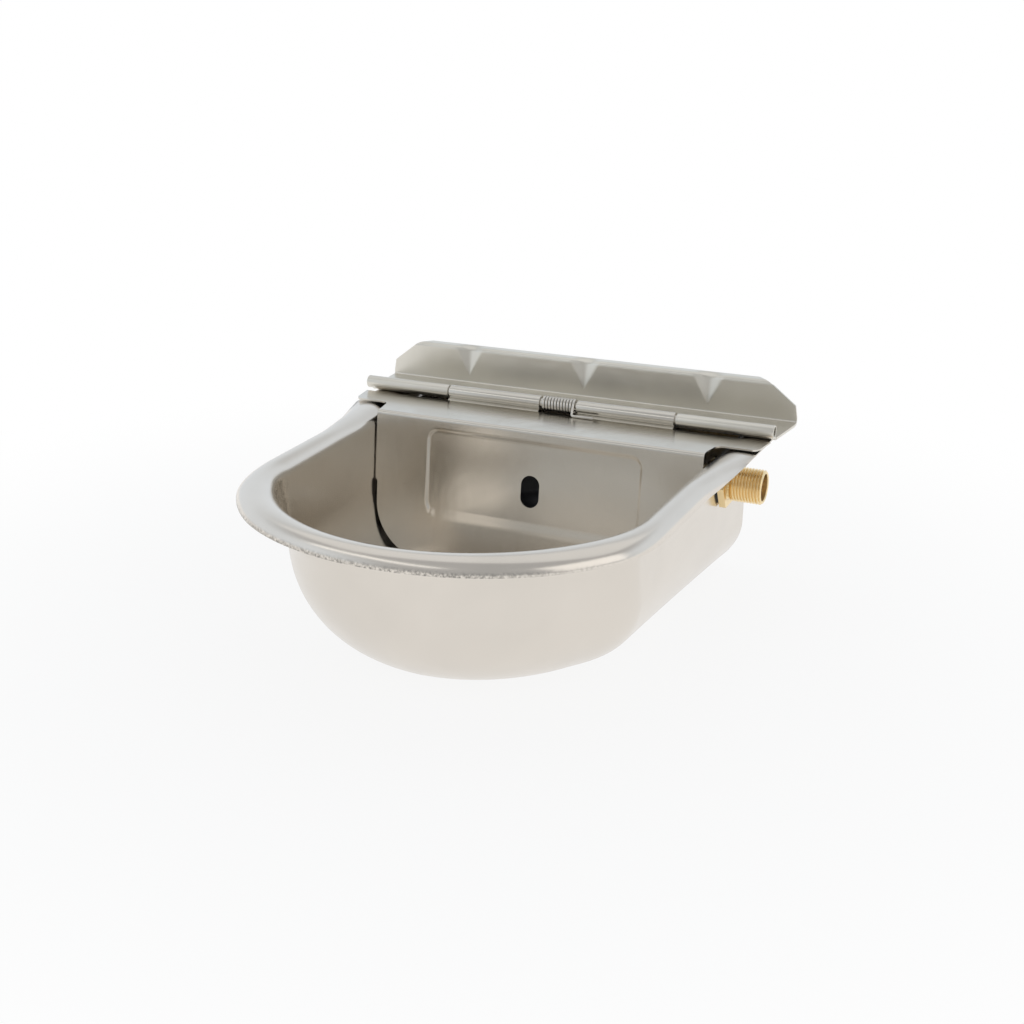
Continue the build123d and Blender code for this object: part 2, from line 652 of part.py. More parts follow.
def inlet_plane(x):
    """Plane across the inlet axis: local x to the wall, local y up, faces +X."""
    return Plane(origin=(x, INLET_Y, INLET_Z), x_dir=(0, 1, 0), z_dir=(1, 0, 0))


wall_x = crest_half(INLET_Y) - WALL_INSET
gasket_x = wall_x - SHEET - GASKET_THICKNESS
collar_x = gasket_x - COLLAR_LENGTH
barrel_end_x = collar_x - BARREL_LENGTH
washer_end_x = wall_x + WASHER_THICKNESS
relief_x = washer_end_x + LOCK_NUT_HEIGHT
nose_x = collar_x - SEAT_NOSE_LENGTH
piston_bore_r = PISTON_R + PISTON_CLEARANCE
pivot = Vector(barrel_end_x - PIVOT_BACK, INLET_Y, INLET_Z - PIVOT_DROP)
droop = radians(ARM_SWING / 2)
piston_travel = 2 * PIVOT_DROP * sin(droop)

# the sealing rings are cut to the wall that they lie on
gasket_ring = tube(inlet_plane(gasket_x), GASKET_R, THREAD_R + FIT_GAP, GASKET_THICKNESS + SHEET / 2)
washer_ring = tube(inlet_plane(wall_x - SHEET / 2), WASHER_R, THREAD_R + FIT_GAP, WASHER_THICKNESS + SHEET / 2)
with BuildPart() as inner_gasket:
    add(gasket_ring)
    add(bowl.part, mode=Mode.SUBTRACT)
inner_gasket.part.label = "inner_gasket"
with BuildPart() as outer_washer:
    add(washer_ring)
    add(bowl.part, mode=Mode.SUBTRACT)
outer_washer.part.label = "outer_washer"
with BuildPart() as lock_nut:
    add(hex_nut(inlet_plane(washer_end_x), LOCK_NUT_FLATS, THREAD_R + FIT_GAP, LOCK_NUT_HEIGHT))
lock_nut.part.label = "lock_nut"

with BuildPart() as valve_body:
    # threaded stub, collar and barrel in one turned body
    with BuildSketch(inlet_plane(collar_x)):
        Circle(THREAD_R)
    extrude(amount=INLET_END_X - collar_x)
    chamfer(valve_body.edges().sort_by(Axis.X)[-1], 0.9)
    with BuildSketch(inlet_plane(collar_x)):
        Circle(COLLAR_R)
    extrude(amount=COLLAR_LENGTH)
    with BuildSketch(inlet_plane(barrel_end_x)):
        Circle(BARREL_R)
    extrude(amount=BARREL_LENGTH)
    with BuildSketch(inlet_plane(relief_x)):
        Circle(THREAD_R + 1)
        Circle(THREAD_RELIEF_R, mode=Mode.SUBTRACT)
    extrude(amount=THREAD_RELIEF_LENGTH, mode=Mode.SUBTRACT)
    # fork for the lever
    pivot_plane = Plane(origin=pivot, x_dir=(-1, 0, 0), z_dir=(0, 1, 0))
    for side in (-1, 1):
        with BuildSketch(pivot_plane.offset(side * CHEEK_GAP_HALF)):
            with Locations((-PIVOT_BACK - CHEEK_ROOT, -CHEEK_BELOW)):
                Rectangle(
                    CHEEK_REACH + CHEEK_ROOT,
                    CHEEK_BELOW + PIVOT_DROP + CHEEK_ABOVE,
                    align=(Align.MIN, Align.MIN),
                )
        extrude(amount=side * CHEEK_THICKNESS)
    upright = valve_body.edges().filter_by(Axis.Y).filter_by(
        lambda edge: edge.center().X < barrel_end_x - 1
    )
    fillet(upright, CHEEK_BELOW - 0.5)
    # inlet bore down to the seat, then the piston bore
    with BuildSketch(inlet_plane(collar_x)):
        Circle(INLET_BORE_R)
    extrude(amount=INLET_END_X - collar_x, mode=Mode.SUBTRACT)
    with BuildSketch(inlet_plane(barrel_end_x)):
        Circle(piston_bore_r)
    extrude(amount=BARREL_LENGTH, mode=Mode.SUBTRACT)
    for turn in (45, 135):
        across_axis = Plane(
            origin=(collar_x - SEAT_NOSE_LENGTH / 2, INLET_Y, INLET_Z),
            x_dir=(1, 0, 0),
            z_dir=(0, cos(radians(turn)), sin(radians(turn))),
        )
        with BuildSketch(across_axis):
            Circle(OUTLET_R)
        extrude(amount=BARREL_R + 1, both=True, mode=Mode.SUBTRACT)
    with BuildSketch(pivot_plane):
        Circle(PIVOT_PIN_R + PIVOT_CLEARANCE)
    extrude(amount=2 * BARREL_R, both=True, mode=Mode.SUBTRACT)
valve_body.part.label = "valve_body"

with BuildPart() as nozzle_seat:
    with BuildSketch(inlet_plane(collar_x)):
        Circle(INLET_BORE_R - FIT_GAP)
    extrude(amount=SEAT_LENGTH)
    with BuildSketch(inlet_plane(nose_x)):
        Circle(SEAT_NOSE_R)
    extrude(amount=SEAT_NOSE_LENGTH)
    chamfer(nozzle_seat.edges().sort_by(Axis.X)[0], 0.8)
    with BuildSketch(inlet_plane(nose_x)):
        Circle(ORIFICE_R)
    extrude(amount=SEAT_NOSE_LENGTH + SEAT_LENGTH, mode=Mode.SUBTRACT)
nozzle_seat.part.label = "nozzle_seat"

# piston, drawn where the hanging float holds it: open
seal_face_x = nose_x - PISTON_PLAY - piston_travel
piston_end_x = seal_face_x - SEAL_STANDING
finger_x = pivot.X - piston_travel / 2
piston_start_x = finger_x - FINGER_R - FINGER_CLEARANCE - PISTON_OVERHANG
finger_plane = Plane(origin=(finger_x, INLET_Y, INLET_Z), x_dir=(1, 0, 0), z_dir=(0, 1, 0))
with BuildPart() as valve_piston:
    with BuildSketch(inlet_plane(piston_start_x)):
        Circle(PISTON_R)
    extrude(amount=piston_end_x - piston_start_x)
    chamfer(valve_piston.edges().filter_by(GeomType.CIRCLE), 0.5)
    with BuildSketch(inlet_plane(piston_end_x)):
        Circle(SEAL_R + FIT_GAP)
    extrude(amount=-(SEAL_LENGTH - SEAL_STANDING), mode=Mode.SUBTRACT)
    # slot for the lever's finger, open below (this plane's y axis points down)
    with BuildSketch(finger_plane):
        with Locations((0, -FINGER_SLOT_TOP)):
            Rectangle(
                2 * (FINGER_R + FINGER_CLEARANCE),
                FINGER_SLOT_TOP + PISTON_R + 1,
                align=(Align.CENTER, Align.MIN),
            )
        with Locations((0, FINGER_R)):
            Rectangle(2 * FINGER_RELIEF_HALF, PISTON_R, align=(Align.CENTER, Align.MIN))
    extrude(amount=FINGER_HALF_WIDTH + FINGER_CLEARANCE, both=True, mode=Mode.SUBTRACT)
valve_piston.part.label = "valve_piston"

with BuildPart() as seal_washer:
    with BuildSketch(inlet_plane(seal_face_x)):
        Circle(SEAL_R)
    extrude(amount=-SEAL_LENGTH)
seal_washer.part.label = "seal_washer"

fork_half = CHEEK_GAP_HALF + CHEEK_THICKNESS
with BuildPart() as pivot_pin:
    with BuildSketch(pivot_plane.offset(-fork_half)):
        Circle(PIVOT_PIN_R)
    extrude(amount=2 * fork_half + CLIP_THICKNESS + PIVOT_TAIL)
    with BuildSketch(pivot_plane.offset(-fork_half)):
        Circle(PIVOT_HEAD_R)
    extrude(amount=-PIVOT_HEAD_LENGTH)
pivot_pin.part.label = "pivot_pin"
with BuildPart() as pivot_clip:
    add(tube(pivot_plane.offset(fork_half), CLIP_R, PIVOT_PIN_R + FIT_GAP, CLIP_THICKNESS))
pivot_clip.part.label = "pivot_clip"

# ---- lever, rod and float, drawn hanging ---------------------------------

along = Vector(-cos(droop), 0, -sin(droop))
lever_plane = Plane(origin=pivot, x_dir=along, z_dir=(0, 1, 0))


def arm_plane(distance):
    """Plane across the arm: local y is away from the ground, faces the free end."""
    return Plane(origin=pivot + along * distance, x_dir=(0, -1, 0), z_dir=along)


with BuildPart() as valve_lever:
    with BuildSketch(lever_plane):
        Circle(LEVER_HUB_R)
    extrude(amount=CHEEK_GAP_HALF - LEVER_SIDE_GAP, both=True)
    with BuildSketch(lever_plane):
        Rectangle(2 * FINGER_NECK_HALF, PIVOT_DROP, align=(Align.CENTER, Align.MIN))
        with Locations((0, PIVOT_DROP)):
            Circle(FINGER_R)
    extrude(amount=FINGER_HALF_WIDTH, both=True)
    with BuildSketch(lever_plane):
        Rectangle(BOSS_END / 2, 2 * WEB_HALF_HEIGHT, align=(Align.MIN, Align.CENTER))
    extrude(amount=WEB_HALF_WIDTH, both=True)
    with BuildSketch(arm_plane(BOSS_START)):
        Circle(BOSS_R)
    extrude(amount=BOSS_END - BOSS_START)
    with BuildSketch(arm_plane(ROD_START)):
        Circle(ROD_R + FIT_GAP)
    extrude(amount=BOSS_END - ROD_START, mode=Mode.SUBTRACT)
    with BuildSketch(lever_plane):
        Circle(PIVOT_PIN_R + PIVOT_CLEARANCE)
    extrude(amount=2 * CHEEK_GAP_HALF, both=True, mode=Mode.SUBTRACT)
valve_lever.part.label = "valve_lever"

float_end = FLOAT_START + FLOAT_LENGTH
clamp_length = FLOAT_WASHER_THICKNESS + ROD_NUT_HEIGHT
rod_end = float_end + clamp_length + ROD_TAIL
with BuildPart() as arm_rod:
    with BuildSketch(arm_plane(ROD_START)):
        Circle(ROD_R)
    extrude(amount=rod_end - ROD_START)
    chamfer(arm_rod.edges().filter_by(GeomType.CIRCLE), 0.3)
arm_rod.part.label = "arm_rod"
with BuildPart() as rod_lock_nut:
    add(hex_nut(arm_plane(BOSS_END), ROD_NUT_FLATS, ROD_R + FIT_GAP, ROD_NUT_HEIGHT))
rod_lock_nut.part.label = "rod_lock_nut"

with BuildPart() as float_body:
    with BuildSketch(arm_plane(FLOAT_START)):
        with Locations((0, (FLOAT_ABOVE - FLOAT_BELOW) / 2)):
            RectangleRounded(2 * FLOAT_HALF_WIDTH, FLOAT_ABOVE + FLOAT_BELOW, FLOAT_EDGE_R)
    extrude(amount=FLOAT_LENGTH)
    end_faces = (float_body.faces().sort_by(Axis.X)[0], float_body.faces().sort_by(Axis.X)[-1])
    fillet([edge for face in end_faces for edge in face.edges()], FLOAT_EDGE_R / 2)
    with BuildSketch(arm_plane(FLOAT_START)):
        Circle(ROD_R + FIT_GAP)
    extrude(amount=FLOAT_LENGTH, mode=Mode.SUBTRACT)
float_body.part.label = "float"

with BuildPart() as float_washers:
    for distance in (FLOAT_START - FLOAT_WASHER_THICKNESS, float_end):
        add(tube(arm_plane(distance), FLOAT_WASHER_R, ROD_R + FIT_GAP, FLOAT_WASHER_THICKNESS))
float_washers.part.label = "float_washers"
with BuildPart() as float_nuts:
    for distance in (FLOAT_START - clamp_length, float_end + FLOAT_WASHER_THICKNESS):
        add(hex_nut(arm_plane(distance), ROD_NUT_FLATS, ROD_R + FIT_GAP, ROD_NUT_HEIGHT))
float_nuts.part.label = "float_nuts"

# ---- files ---------------------------------------------------------------

os.makedirs("parts", exist_ok=True)
for piece in (
    bowl,
    rear_bracket,
    cover,
    hinge_pin,
    lid_spring,
    valve_body,
    lock_nut,
    outer_washer,
    inner_gasket,
    nozzle_seat,
    valve_piston,
    seal_washer,
    pivot_pin,
    pivot_clip,
    valve_lever,
    arm_rod,
    rod_lock_nut,
    float_body,
    float_washers,
    float_nuts,
):
    export_step(piece.part, f"parts/{piece.part.label}.step")
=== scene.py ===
"""Wall-mounted livestock drinking bowl: the looks of every piece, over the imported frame."""
import json
import math

import bmesh
import bpy
import numpy as np
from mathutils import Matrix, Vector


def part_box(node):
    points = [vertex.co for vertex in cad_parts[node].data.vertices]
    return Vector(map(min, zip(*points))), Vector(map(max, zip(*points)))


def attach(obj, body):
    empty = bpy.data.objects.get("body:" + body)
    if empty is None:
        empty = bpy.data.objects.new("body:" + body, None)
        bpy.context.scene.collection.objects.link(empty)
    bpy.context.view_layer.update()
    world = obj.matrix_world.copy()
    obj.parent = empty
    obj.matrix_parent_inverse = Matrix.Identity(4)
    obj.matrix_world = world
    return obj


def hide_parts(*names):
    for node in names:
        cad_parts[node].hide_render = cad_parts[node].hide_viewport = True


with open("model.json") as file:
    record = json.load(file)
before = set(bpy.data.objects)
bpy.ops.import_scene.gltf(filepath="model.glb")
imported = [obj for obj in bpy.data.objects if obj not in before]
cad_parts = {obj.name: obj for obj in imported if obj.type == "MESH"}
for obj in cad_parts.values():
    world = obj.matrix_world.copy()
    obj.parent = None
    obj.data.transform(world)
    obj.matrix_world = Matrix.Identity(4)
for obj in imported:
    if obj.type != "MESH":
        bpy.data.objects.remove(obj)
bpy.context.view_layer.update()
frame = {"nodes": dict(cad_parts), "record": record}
MM = 0.001


# ---- Camera, floor and light ------------------------------------------------
# The bowl stands alone on a plain pale floor in soft studio light, seen from in
# front and a little above, from the side on which the water comes in.

camera_at = np.array((310.56, -676.87, 346.01)) * MM
camera_back = np.array((0.39584, -0.85062, 0.34606))
focal_share = 1387.61 / 1024
view_centre = (485.53 / 1024, 505.16 / 1024)

camera_data = bpy.data.cameras.new("camera")
camera = bpy.data.objects.new("camera", camera_data)
bpy.context.scene.collection.objects.link(camera)
bpy.context.scene.camera = camera
camera_right = np.cross((0.0, 0.0, 1.0), camera_back)
camera_right /= np.linalg.norm(camera_right)
camera_up = np.cross(camera_back, camera_right)
pose = np.eye(4)
pose[:3, 0] = camera_right
pose[:3, 1] = camera_up
pose[:3, 2] = camera_back / np.linalg.norm(camera_back)
pose[:3, 3] = camera_at
camera.matrix_world = pose.T.tolist()
camera_data.sensor_width = 36.0
camera_data.lens = focal_share * 36.0
camera_data.shift_x = 0.5 - view_centre[0]
camera_data.shift_y = view_centre[1] - 0.5
camera_data.clip_end = 20.0
bpy.context.scene.view_settings.view_transform = "Standard"


def node_tree(name):
    """A new material with a Principled shader: (material, nodes, links, shader)."""
    material = bpy.data.materials.new(name)
    material.use_nodes = True
    nodes = material.node_tree.nodes
    return material, nodes, material.node_tree.links, nodes["Principled BSDF"]


floor_data = bpy.data.meshes.new("floor")
reach = 6.0
floor_corners = [(-reach, -reach, 0), (reach, -reach, 0), (reach, reach, 0), (-reach, reach, 0)]
floor_data.from_pydata(floor_corners, [], [(0, 1, 2, 3)])
floor = bpy.data.objects.new("floor", floor_data)
floor.location.z = -0.0005
bpy.context.scene.collection.objects.link(floor)
floor_material, nodes, links, shader = node_tree("floor")
shader.inputs["Base Color"].default_value = (0.9, 0.9, 0.9, 1)
shader.inputs["Roughness"].default_value = 0.9
path = nodes.new("ShaderNodeLightPath")
glow = nodes.new("ShaderNodeEmission")
seen = nodes.new("ShaderNodeMath")
seen.operation = "MAXIMUM"
mix = nodes.new("ShaderNodeMixShader")
links.new(path.outputs["Is Camera Ray"], seen.inputs[0])
links.new(path.outputs["Is Glossy Ray"], seen.inputs[1])
links.new(shader.outputs[0], mix.inputs[1])
links.new(glow.outputs[0], mix.inputs[2])
spot = nodes.new("ShaderNodeTexCoord")
length = nodes.new("ShaderNodeVectorMath")
length.operation = "LENGTH"
links.new(spot.outputs["Object"], length.inputs[0])
far = nodes.new("ShaderNodeMapRange")
far.interpolation_type = "SMOOTHSTEP"
far.inputs["From Min"].default_value = 0.18
far.inputs["From Max"].default_value = 0.55
far.inputs["To Min"].default_value = 0.86
far.inputs["To Max"].default_value = 1.0
links.new(length.outputs["Value"], far.inputs["Value"])
share = nodes.new("ShaderNodeMath")
share.operation = "MULTIPLY"
links.new(far.outputs[0], share.inputs[1])
links.new(seen.outputs[0], share.inputs[0])
links.new(share.outputs[0], mix.inputs[0])
links.new(mix.outputs[0], nodes["Material Output"].inputs[0])
floor_data.materials.append(floor_material)

world = bpy.data.worlds.new("studio")
bpy.context.scene.world = world
world.use_nodes = True
nodes, links = world.node_tree.nodes, world.node_tree.links
background = nodes["Background"]
background.inputs["Strength"].default_value = 1.0
sky = nodes.new("ShaderNodeTexCoord")
heading = nodes.new("ShaderNodeSeparateXYZ")
links.new(sky.outputs["Generated"], heading.inputs[0])


def ramp(value, low, high, start=0.0, end=1.0):
    """A smooth step of a direction's coordinate, used to place the room's light and dark sides."""
    step = nodes.new("ShaderNodeMapRange")
    step.interpolation_type = "SMOOTHSTEP"
    for key, number in (("From Min", low), ("From Max", high), ("To Min", start), ("To Max", end)):
        step.inputs[key].default_value = number
    links.new(value, step.inputs["Value"])
    return step.outputs[0]


behind = nodes.new("ShaderNodeMath")
behind.operation = "MAXIMUM"
links.new(ramp(heading.outputs["Y"], -0.1, 0.6), behind.inputs[0])
links.new(ramp(heading.outputs["X"], -0.2, -0.8), behind.inputs[1])
wall_share = nodes.new("ShaderNodeMath")
wall_share.operation = "MULTIPLY"
links.new(behind.outputs[0], wall_share.inputs[0])
links.new(ramp(heading.outputs["Z"], 0.75, 0.4), wall_share.inputs[1])
room = nodes.new("ShaderNodeMix")
room.data_type = "RGBA"
room.inputs["A"].default_value = (0.50, 0.51, 0.52, 1)
room.inputs["B"].default_value = (0.84, 0.90, 0.97, 1)
links.new(wall_share.outputs[0], room.inputs["Factor"])
links.new(room.outputs["Result"], background.inputs["Color"])
seen_white = nodes.new("ShaderNodeBackground")
seen_white.inputs["Color"].default_value = (1, 1, 1, 1)
seen_white.inputs["Strength"].default_value = 1.0
path = nodes.new("ShaderNodeLightPath")
mix = nodes.new("ShaderNodeMixShader")
links.new(path.outputs["Is Camera Ray"], mix.inputs[0])
links.new(background.outputs[0], mix.inputs[1])
links.new(seen_white.outputs[0], mix.inputs[2])
links.new(mix.outputs[0], nodes["World Output"].inputs[0])


def lamp(name, place, aim, width, height, watts, colour):
    """A soft rectangular lamp at place, turned to aim."""
    data = bpy.data.lights.new(name, "AREA")
    data.shape = "RECTANGLE"
    data.size, data.size_y, data.energy, data.color = width, height, watts, colour
    lamp_object = bpy.data.objects.new(name, data)
    bpy.context.scene.collection.objects.link(lamp_object)
    back = np.array(place, float) - np.array(aim, float)
    back /= np.linalg.norm(back)
    right = np.cross((0.0, 0.0, 1.0), back)
    right /= np.linalg.norm(right)
    turn = np.eye(4)
    turn[:3, 0], turn[:3, 1], turn[:3, 2], turn[:3, 3] = right, np.cross(back, right), back, place
    lamp_object.matrix_world = turn.T.tolist()


lamp("over", (-0.2, 0.45, 1.5), (0, 0, 0.05), 2.4, 1.4, 3.6, (1.0, 1.0, 1.0))
lamp("front", (-0.55, -0.95, 1.05), (0, 0, 0.05), 1.5, 0.26, 0.9, (1.0, 0.99, 0.97))
lamp("right", (1.3, -0.3, 0.7), (0, 0, 0.05), 1.1, 1.1, 2.6, (1.0, 0.97, 0.94))


def grid_faces(rows, columns, closed_rows=False, closed_columns=False):
    """Quads between neighbouring points of a grid that is stored row by row."""
    row = np.arange(rows if closed_rows else rows - 1)[:, None]
    column = np.arange(columns if closed_columns else columns - 1)[None, :]
    below, right = (row + 1) % rows, (column + 1) % columns
    a, b = row * columns + column, row * columns + right
    c, d = below * columns + right, below * columns + column
    return np.stack([a, b, c, d], axis=-1).reshape(-1, 4)


def make_piece(name, points, faces, body, slot, material, sharp, band=None):
    """A closed smooth mesh from points in millimetres, riding on a body, its faces turned
    outwards. band, one value for each point, becomes the V of the piece's own UV map."""
    mesh = bpy.data.meshes.new(name)
    spots = np.asarray(points).reshape(-1, 3) * MM
    mesh.from_pydata(spots.tolist(), [], np.asarray(faces).tolist())
    if band is not None:
        corners = np.zeros(len(mesh.loops), dtype=np.int32)
        mesh.loops.foreach_get("vertex_index", corners)
        pairs = np.stack([np.full(len(corners), 0.5), np.asarray(band).reshape(-1)[corners]], axis=1)
        mesh.uv_layers.new(name="UVMap").data.foreach_set("uv", pairs.astype(np.float32).reshape(-1))
    weld = 0.002 * MM
    work = bmesh.new()
    work.from_mesh(mesh)
    bmesh.ops.remove_doubles(work, verts=work.verts, dist=weld)
    bmesh.ops.dissolve_degenerate(work, edges=work.edges, dist=weld)
    bmesh.ops.recalc_face_normals(work, faces=work.faces)
    work.to_mesh(mesh)
    work.free()
    mesh.shade_smooth()
    mesh.set_sharp_from_angle(angle=math.radians(sharp))
    mesh.materials.append(material)
    piece = bpy.data.objects.new(name, mesh)
    bpy.context.scene.collection.objects.link(piece)
    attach(piece, body)
    return piece


def finish(name, colour, roughness, grain, stretch, stain, bump, wave=0.0, raw_edge_and_shade=False, metal=1.0):
    """A worked surface: fine stretched grain in the gloss, soft cloudy changes of tone and,
    by wave, the slight unevenness of formed sheet.
    raw_edge_and_shade adds a dark speckle where the piece's own UV says so: the cut edge's shear marks, and painted
    shade under the lip."""
    material, nodes, links, shader = node_tree(name)
    place = nodes.new("ShaderNodeTexCoord")
    turn = nodes.new("ShaderNodeMapping")
    turn.inputs["Scale"].default_value = stretch
    links.new(place.outputs["Object"], turn.inputs["Vector"])
    fine = nodes.new("ShaderNodeTexNoise")
    fine.inputs["Scale"].default_value = grain
    fine.inputs["Detail"].default_value = 6.0
    links.new(turn.outputs[0], fine.inputs["Vector"])
    cloud = nodes.new("ShaderNodeTexNoise")
    cloud.inputs["Scale"].default_value = 14.0
    cloud.inputs["Detail"].default_value = 3.0
    cloud.inputs["Distortion"].default_value = 0.6
    links.new(place.outputs["Object"], cloud.inputs["Vector"])
    gloss = nodes.new("ShaderNodeMapRange")
    gloss.inputs["To Min"].default_value = roughness - 0.04
    gloss.inputs["To Max"].default_value = roughness + 0.05
    links.new(fine.outputs["Fac"], gloss.inputs["Value"])
    links.new(gloss.outputs[0], shader.inputs["Roughness"])
    tone = nodes.new("ShaderNodeMix")
    tone.data_type = "RGBA"
    tone.inputs["A"].default_value = (*[c * (1 - stain) for c in colour], 1)
    tone.inputs["B"].default_value = (*colour, 1)
    spread = nodes.new("ShaderNodeMapRange")
    spread.inputs["From Min"].default_value = 0.35
    spread.inputs["From Max"].default_value = 0.65
    links.new(cloud.outputs["Fac"], spread.inputs["Value"])
    links.new(spread.outputs[0], tone.inputs["Factor"])
    links.new(tone.outputs["Result"], shader.inputs["Base Color"])
    rise = nodes.new("ShaderNodeBump")
    rise.inputs["Strength"].default_value = bump
    rise.inputs["Distance"].default_value = 0.0004
    links.new(fine.outputs["Fac"], rise.inputs["Height"])
    swell = nodes.new("ShaderNodeBump")
    swell.inputs["Strength"].default_value = wave
    swell.inputs["Distance"].default_value = 0.003
    links.new(cloud.outputs["Fac"], swell.inputs["Height"])
    links.new(rise.outputs[0], swell.inputs["Normal"])
    links.new(swell.outputs[0], shader.inputs["Normal"])
    shader.inputs["Metallic"].default_value = metal
    if raw_edge_and_shade:
        own = nodes.new("ShaderNodeUVMap")
        parts = nodes.new("ShaderNodeSeparateXYZ")
        links.new(own.outputs[0], parts.inputs[0])
        speckle = nodes.new("ShaderNodeTexNoise")
        speckle.inputs["Scale"].default_value = 700.0
        speckle.inputs["Detail"].default_value = 4.0
        links.new(place.outputs["Object"], speckle.inputs["Vector"])
        pits = nodes.new("ShaderNodeMapRange")
        pits.inputs["From Min"].default_value = 0.34
        pits.inputs["From Max"].default_value = 0.64
        links.new(speckle.outputs["Fac"], pits.inputs["Value"])
        share = nodes.new("ShaderNodeMath")
        share.operation = "MULTIPLY"
        links.new(parts.outputs["Y"], share.inputs[0])
        links.new(pits.outputs[0], share.inputs[1])
        # painted shade under the lip, speckled like the cut edge's shear marks that it also stands for
        worn_and_shaded = nodes.new("ShaderNodeMix")
        worn_and_shaded.data_type = "RGBA"
        worn_and_shaded.inputs["B"].default_value = (0.30, 0.285, 0.26, 1)
        links.new(share.outputs[0], worn_and_shaded.inputs["Factor"])
        links.new(tone.outputs["Result"], worn_and_shaded.inputs["A"])
        links.new(worn_and_shaded.outputs["Result"], shader.inputs["Base Color"])
    return material


# ---- Bowl ---------------------------------------------------------------------
# One deep-drawn sheet of stainless steel. The mouth is rolled over to a half-round
# lip, which opens out into a flat flange under the hinge; the back stands upright.

SHEET = 1.0
LIP_Z, LIP_R = 89.7, 8.2
WALL_INSET = LIP_R - SHEET
WALL_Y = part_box("bowl")[1][1] / MM
# half widths between the crests, and the rounds of the crest line
REAR_HALF, FRONT_HALF, FRONT_Y = 117.4, 112.8, -141.3
CORNER_R, FRONT_R, BACK_R = 76.5, 120.0, 8.0
# rounds between the wall and the bottom: sides at the back, sides in front, back and front
REAR_FOOT, SIDE_FOOT, BACK_FOOT, FRONT_FOOT, FRONT_SLOPE = 30, 52, 25, 74.0, 64.5
# how far the front corners are drawn in: at the rim, and at a depth of 24 mm
RIM_DRAW, CORNER_DRAW, DRAW_DEPTH = 1.6, 5.4, 24


def foot_inset(below, radius):
    """How far a round foot has come in: r - sqrt(r^2 - b^2), b the height below its start."""
    below = np.clip(below, 0.0, radius)
    return radius - np.sqrt(radius**2 - below**2)


def outline(depth, wall):
    """The D-shaped section at each depth: a straight back and sides, a round in each corner
    and a flatter round in front. wall is the distance inside the outer face.
    Gives points and outward normals, from the middle of the back round to the front."""
    depth = np.atleast_1d(np.asarray(depth, float))[:, None]
    full = LIP_Z - max(wall, 0.0)
    gone = WALL_INSET + wall
    rear_half = REAR_HALF - gone - foot_inset(depth - (full - (REAR_FOOT - wall)), REAR_FOOT - wall)
    front_half = FRONT_HALF - gone - foot_inset(depth - (full - (SIDE_FOOT - wall)), SIDE_FOOT - wall)
    sink = np.clip((depth - (full - FRONT_FOOT)) / FRONT_FOOT, 0, 1)
    front_y = FRONT_Y + gone + 0.02 * np.maximum(depth, 0)
    front_y = front_y + (FRONT_SLOPE - wall) * (1 - np.sqrt(1 - sink**2))
    rear_y = WALL_Y - wall - foot_inset(depth - (full - (BACK_FOOT - wall)), BACK_FOOT - wall)
    shrink = front_half / (FRONT_HALF - gone)
    corner_r = (CORNER_R - gone) * shrink * (1 + 0.12 * np.maximum(depth, 0) / LIP_Z)
    front_r = (FRONT_R - gone) * shrink
    rear_r = BACK_R - wall
    corner_x = front_half - corner_r
    corner_y = front_y + front_r - np.sqrt((front_r - corner_r) ** 2 - corner_x**2)
    reach_x, reach_y = rear_half - corner_x, rear_y - rear_r - corner_y
    turn = np.arctan2(reach_y, reach_x) - np.arccos(corner_r / np.hypot(reach_x, reach_y))
    lean = np.arctan2(corner_y - front_y - front_r, corner_x)
    ones = np.ones_like(depth)

    def arc(centre_x, centre_y, radius, start, end, steps, last=False):
        share = np.linspace(0, 1, steps, endpoint=last)[None, :]
        angle = start + (end - start) * share
        points = (centre_x + radius * np.cos(angle), centre_y + radius * np.sin(angle))
        return np.stack([*points, np.cos(angle), np.sin(angle)], axis=-1)

    def run(start, end, normal, steps):
        share = np.linspace(0, 1, steps, endpoint=False)[None, :]
        x = start[0] + (end[0] - start[0]) * share
        y = start[1] + (end[1] - start[1]) * share
        return np.stack([x, y, normal[0] + 0 * x, normal[1] + 0 * y], axis=-1)

    quarter = math.pi / 2 * ones
    side = (corner_x + corner_r * np.cos(turn), corner_y + corner_r * np.sin(turn))
    parts = [
        run((0 * ones, rear_y), (rear_half - rear_r, rear_y), (0.0, 1.0), 24),
        arc(rear_half - rear_r, rear_y - rear_r, rear_r, quarter, turn, 14),
        run((rear_half - rear_r * (1 - np.cos(turn)), rear_y - rear_r * (1 - np.sin(turn))), side,
            (np.cos(turn), np.sin(turn)), 110),
        arc(corner_x, corner_y, corner_r, turn, lean, 56),
        arc(0 * ones, front_y + front_r, front_r, lean, -quarter, 24, last=True),
    ]
    half = np.concatenate(parts, axis=1)
    # the corners go in below the rim, and come out again by 3 mm towards the bottom
    near_rim = np.clip(depth / DRAW_DEPTH, 0, 1)
    below = np.clip((depth - DRAW_DEPTH) / (full - DRAW_DEPTH), 0, 1)
    drawn_in = RIM_DRAW + CORNER_DRAW * near_rim**2 * (3 - 2 * near_rim) - 3.0 * below**2
    inset = corner_share(half) * drawn_in
    half[..., :2] -= inset[..., None] * half[..., 2:]
    other = half[:, -2:0:-1] * np.array((-1, 1, -1, 1))
    return np.concatenate([half, other], axis=1)


def corner_share(ring):
    """How much of the front corners' draw a point takes: all of it where the wall faces about
    34 degrees forward, about a third in front, and nothing along the sides."""
    forward = np.degrees(np.arctan2(-ring[..., 3], np.abs(ring[..., 2])))
    rise = np.clip((forward - 3) / 30, 0, 1)
    fall = np.clip((95 - forward) / 60, 0, 1)
    return rise * rise * (3 - 2 * rise) * (0.35 + 0.65 * fall * fall * (3 - 2 * fall))


foot = np.radians(np.linspace(0, 90, 46))


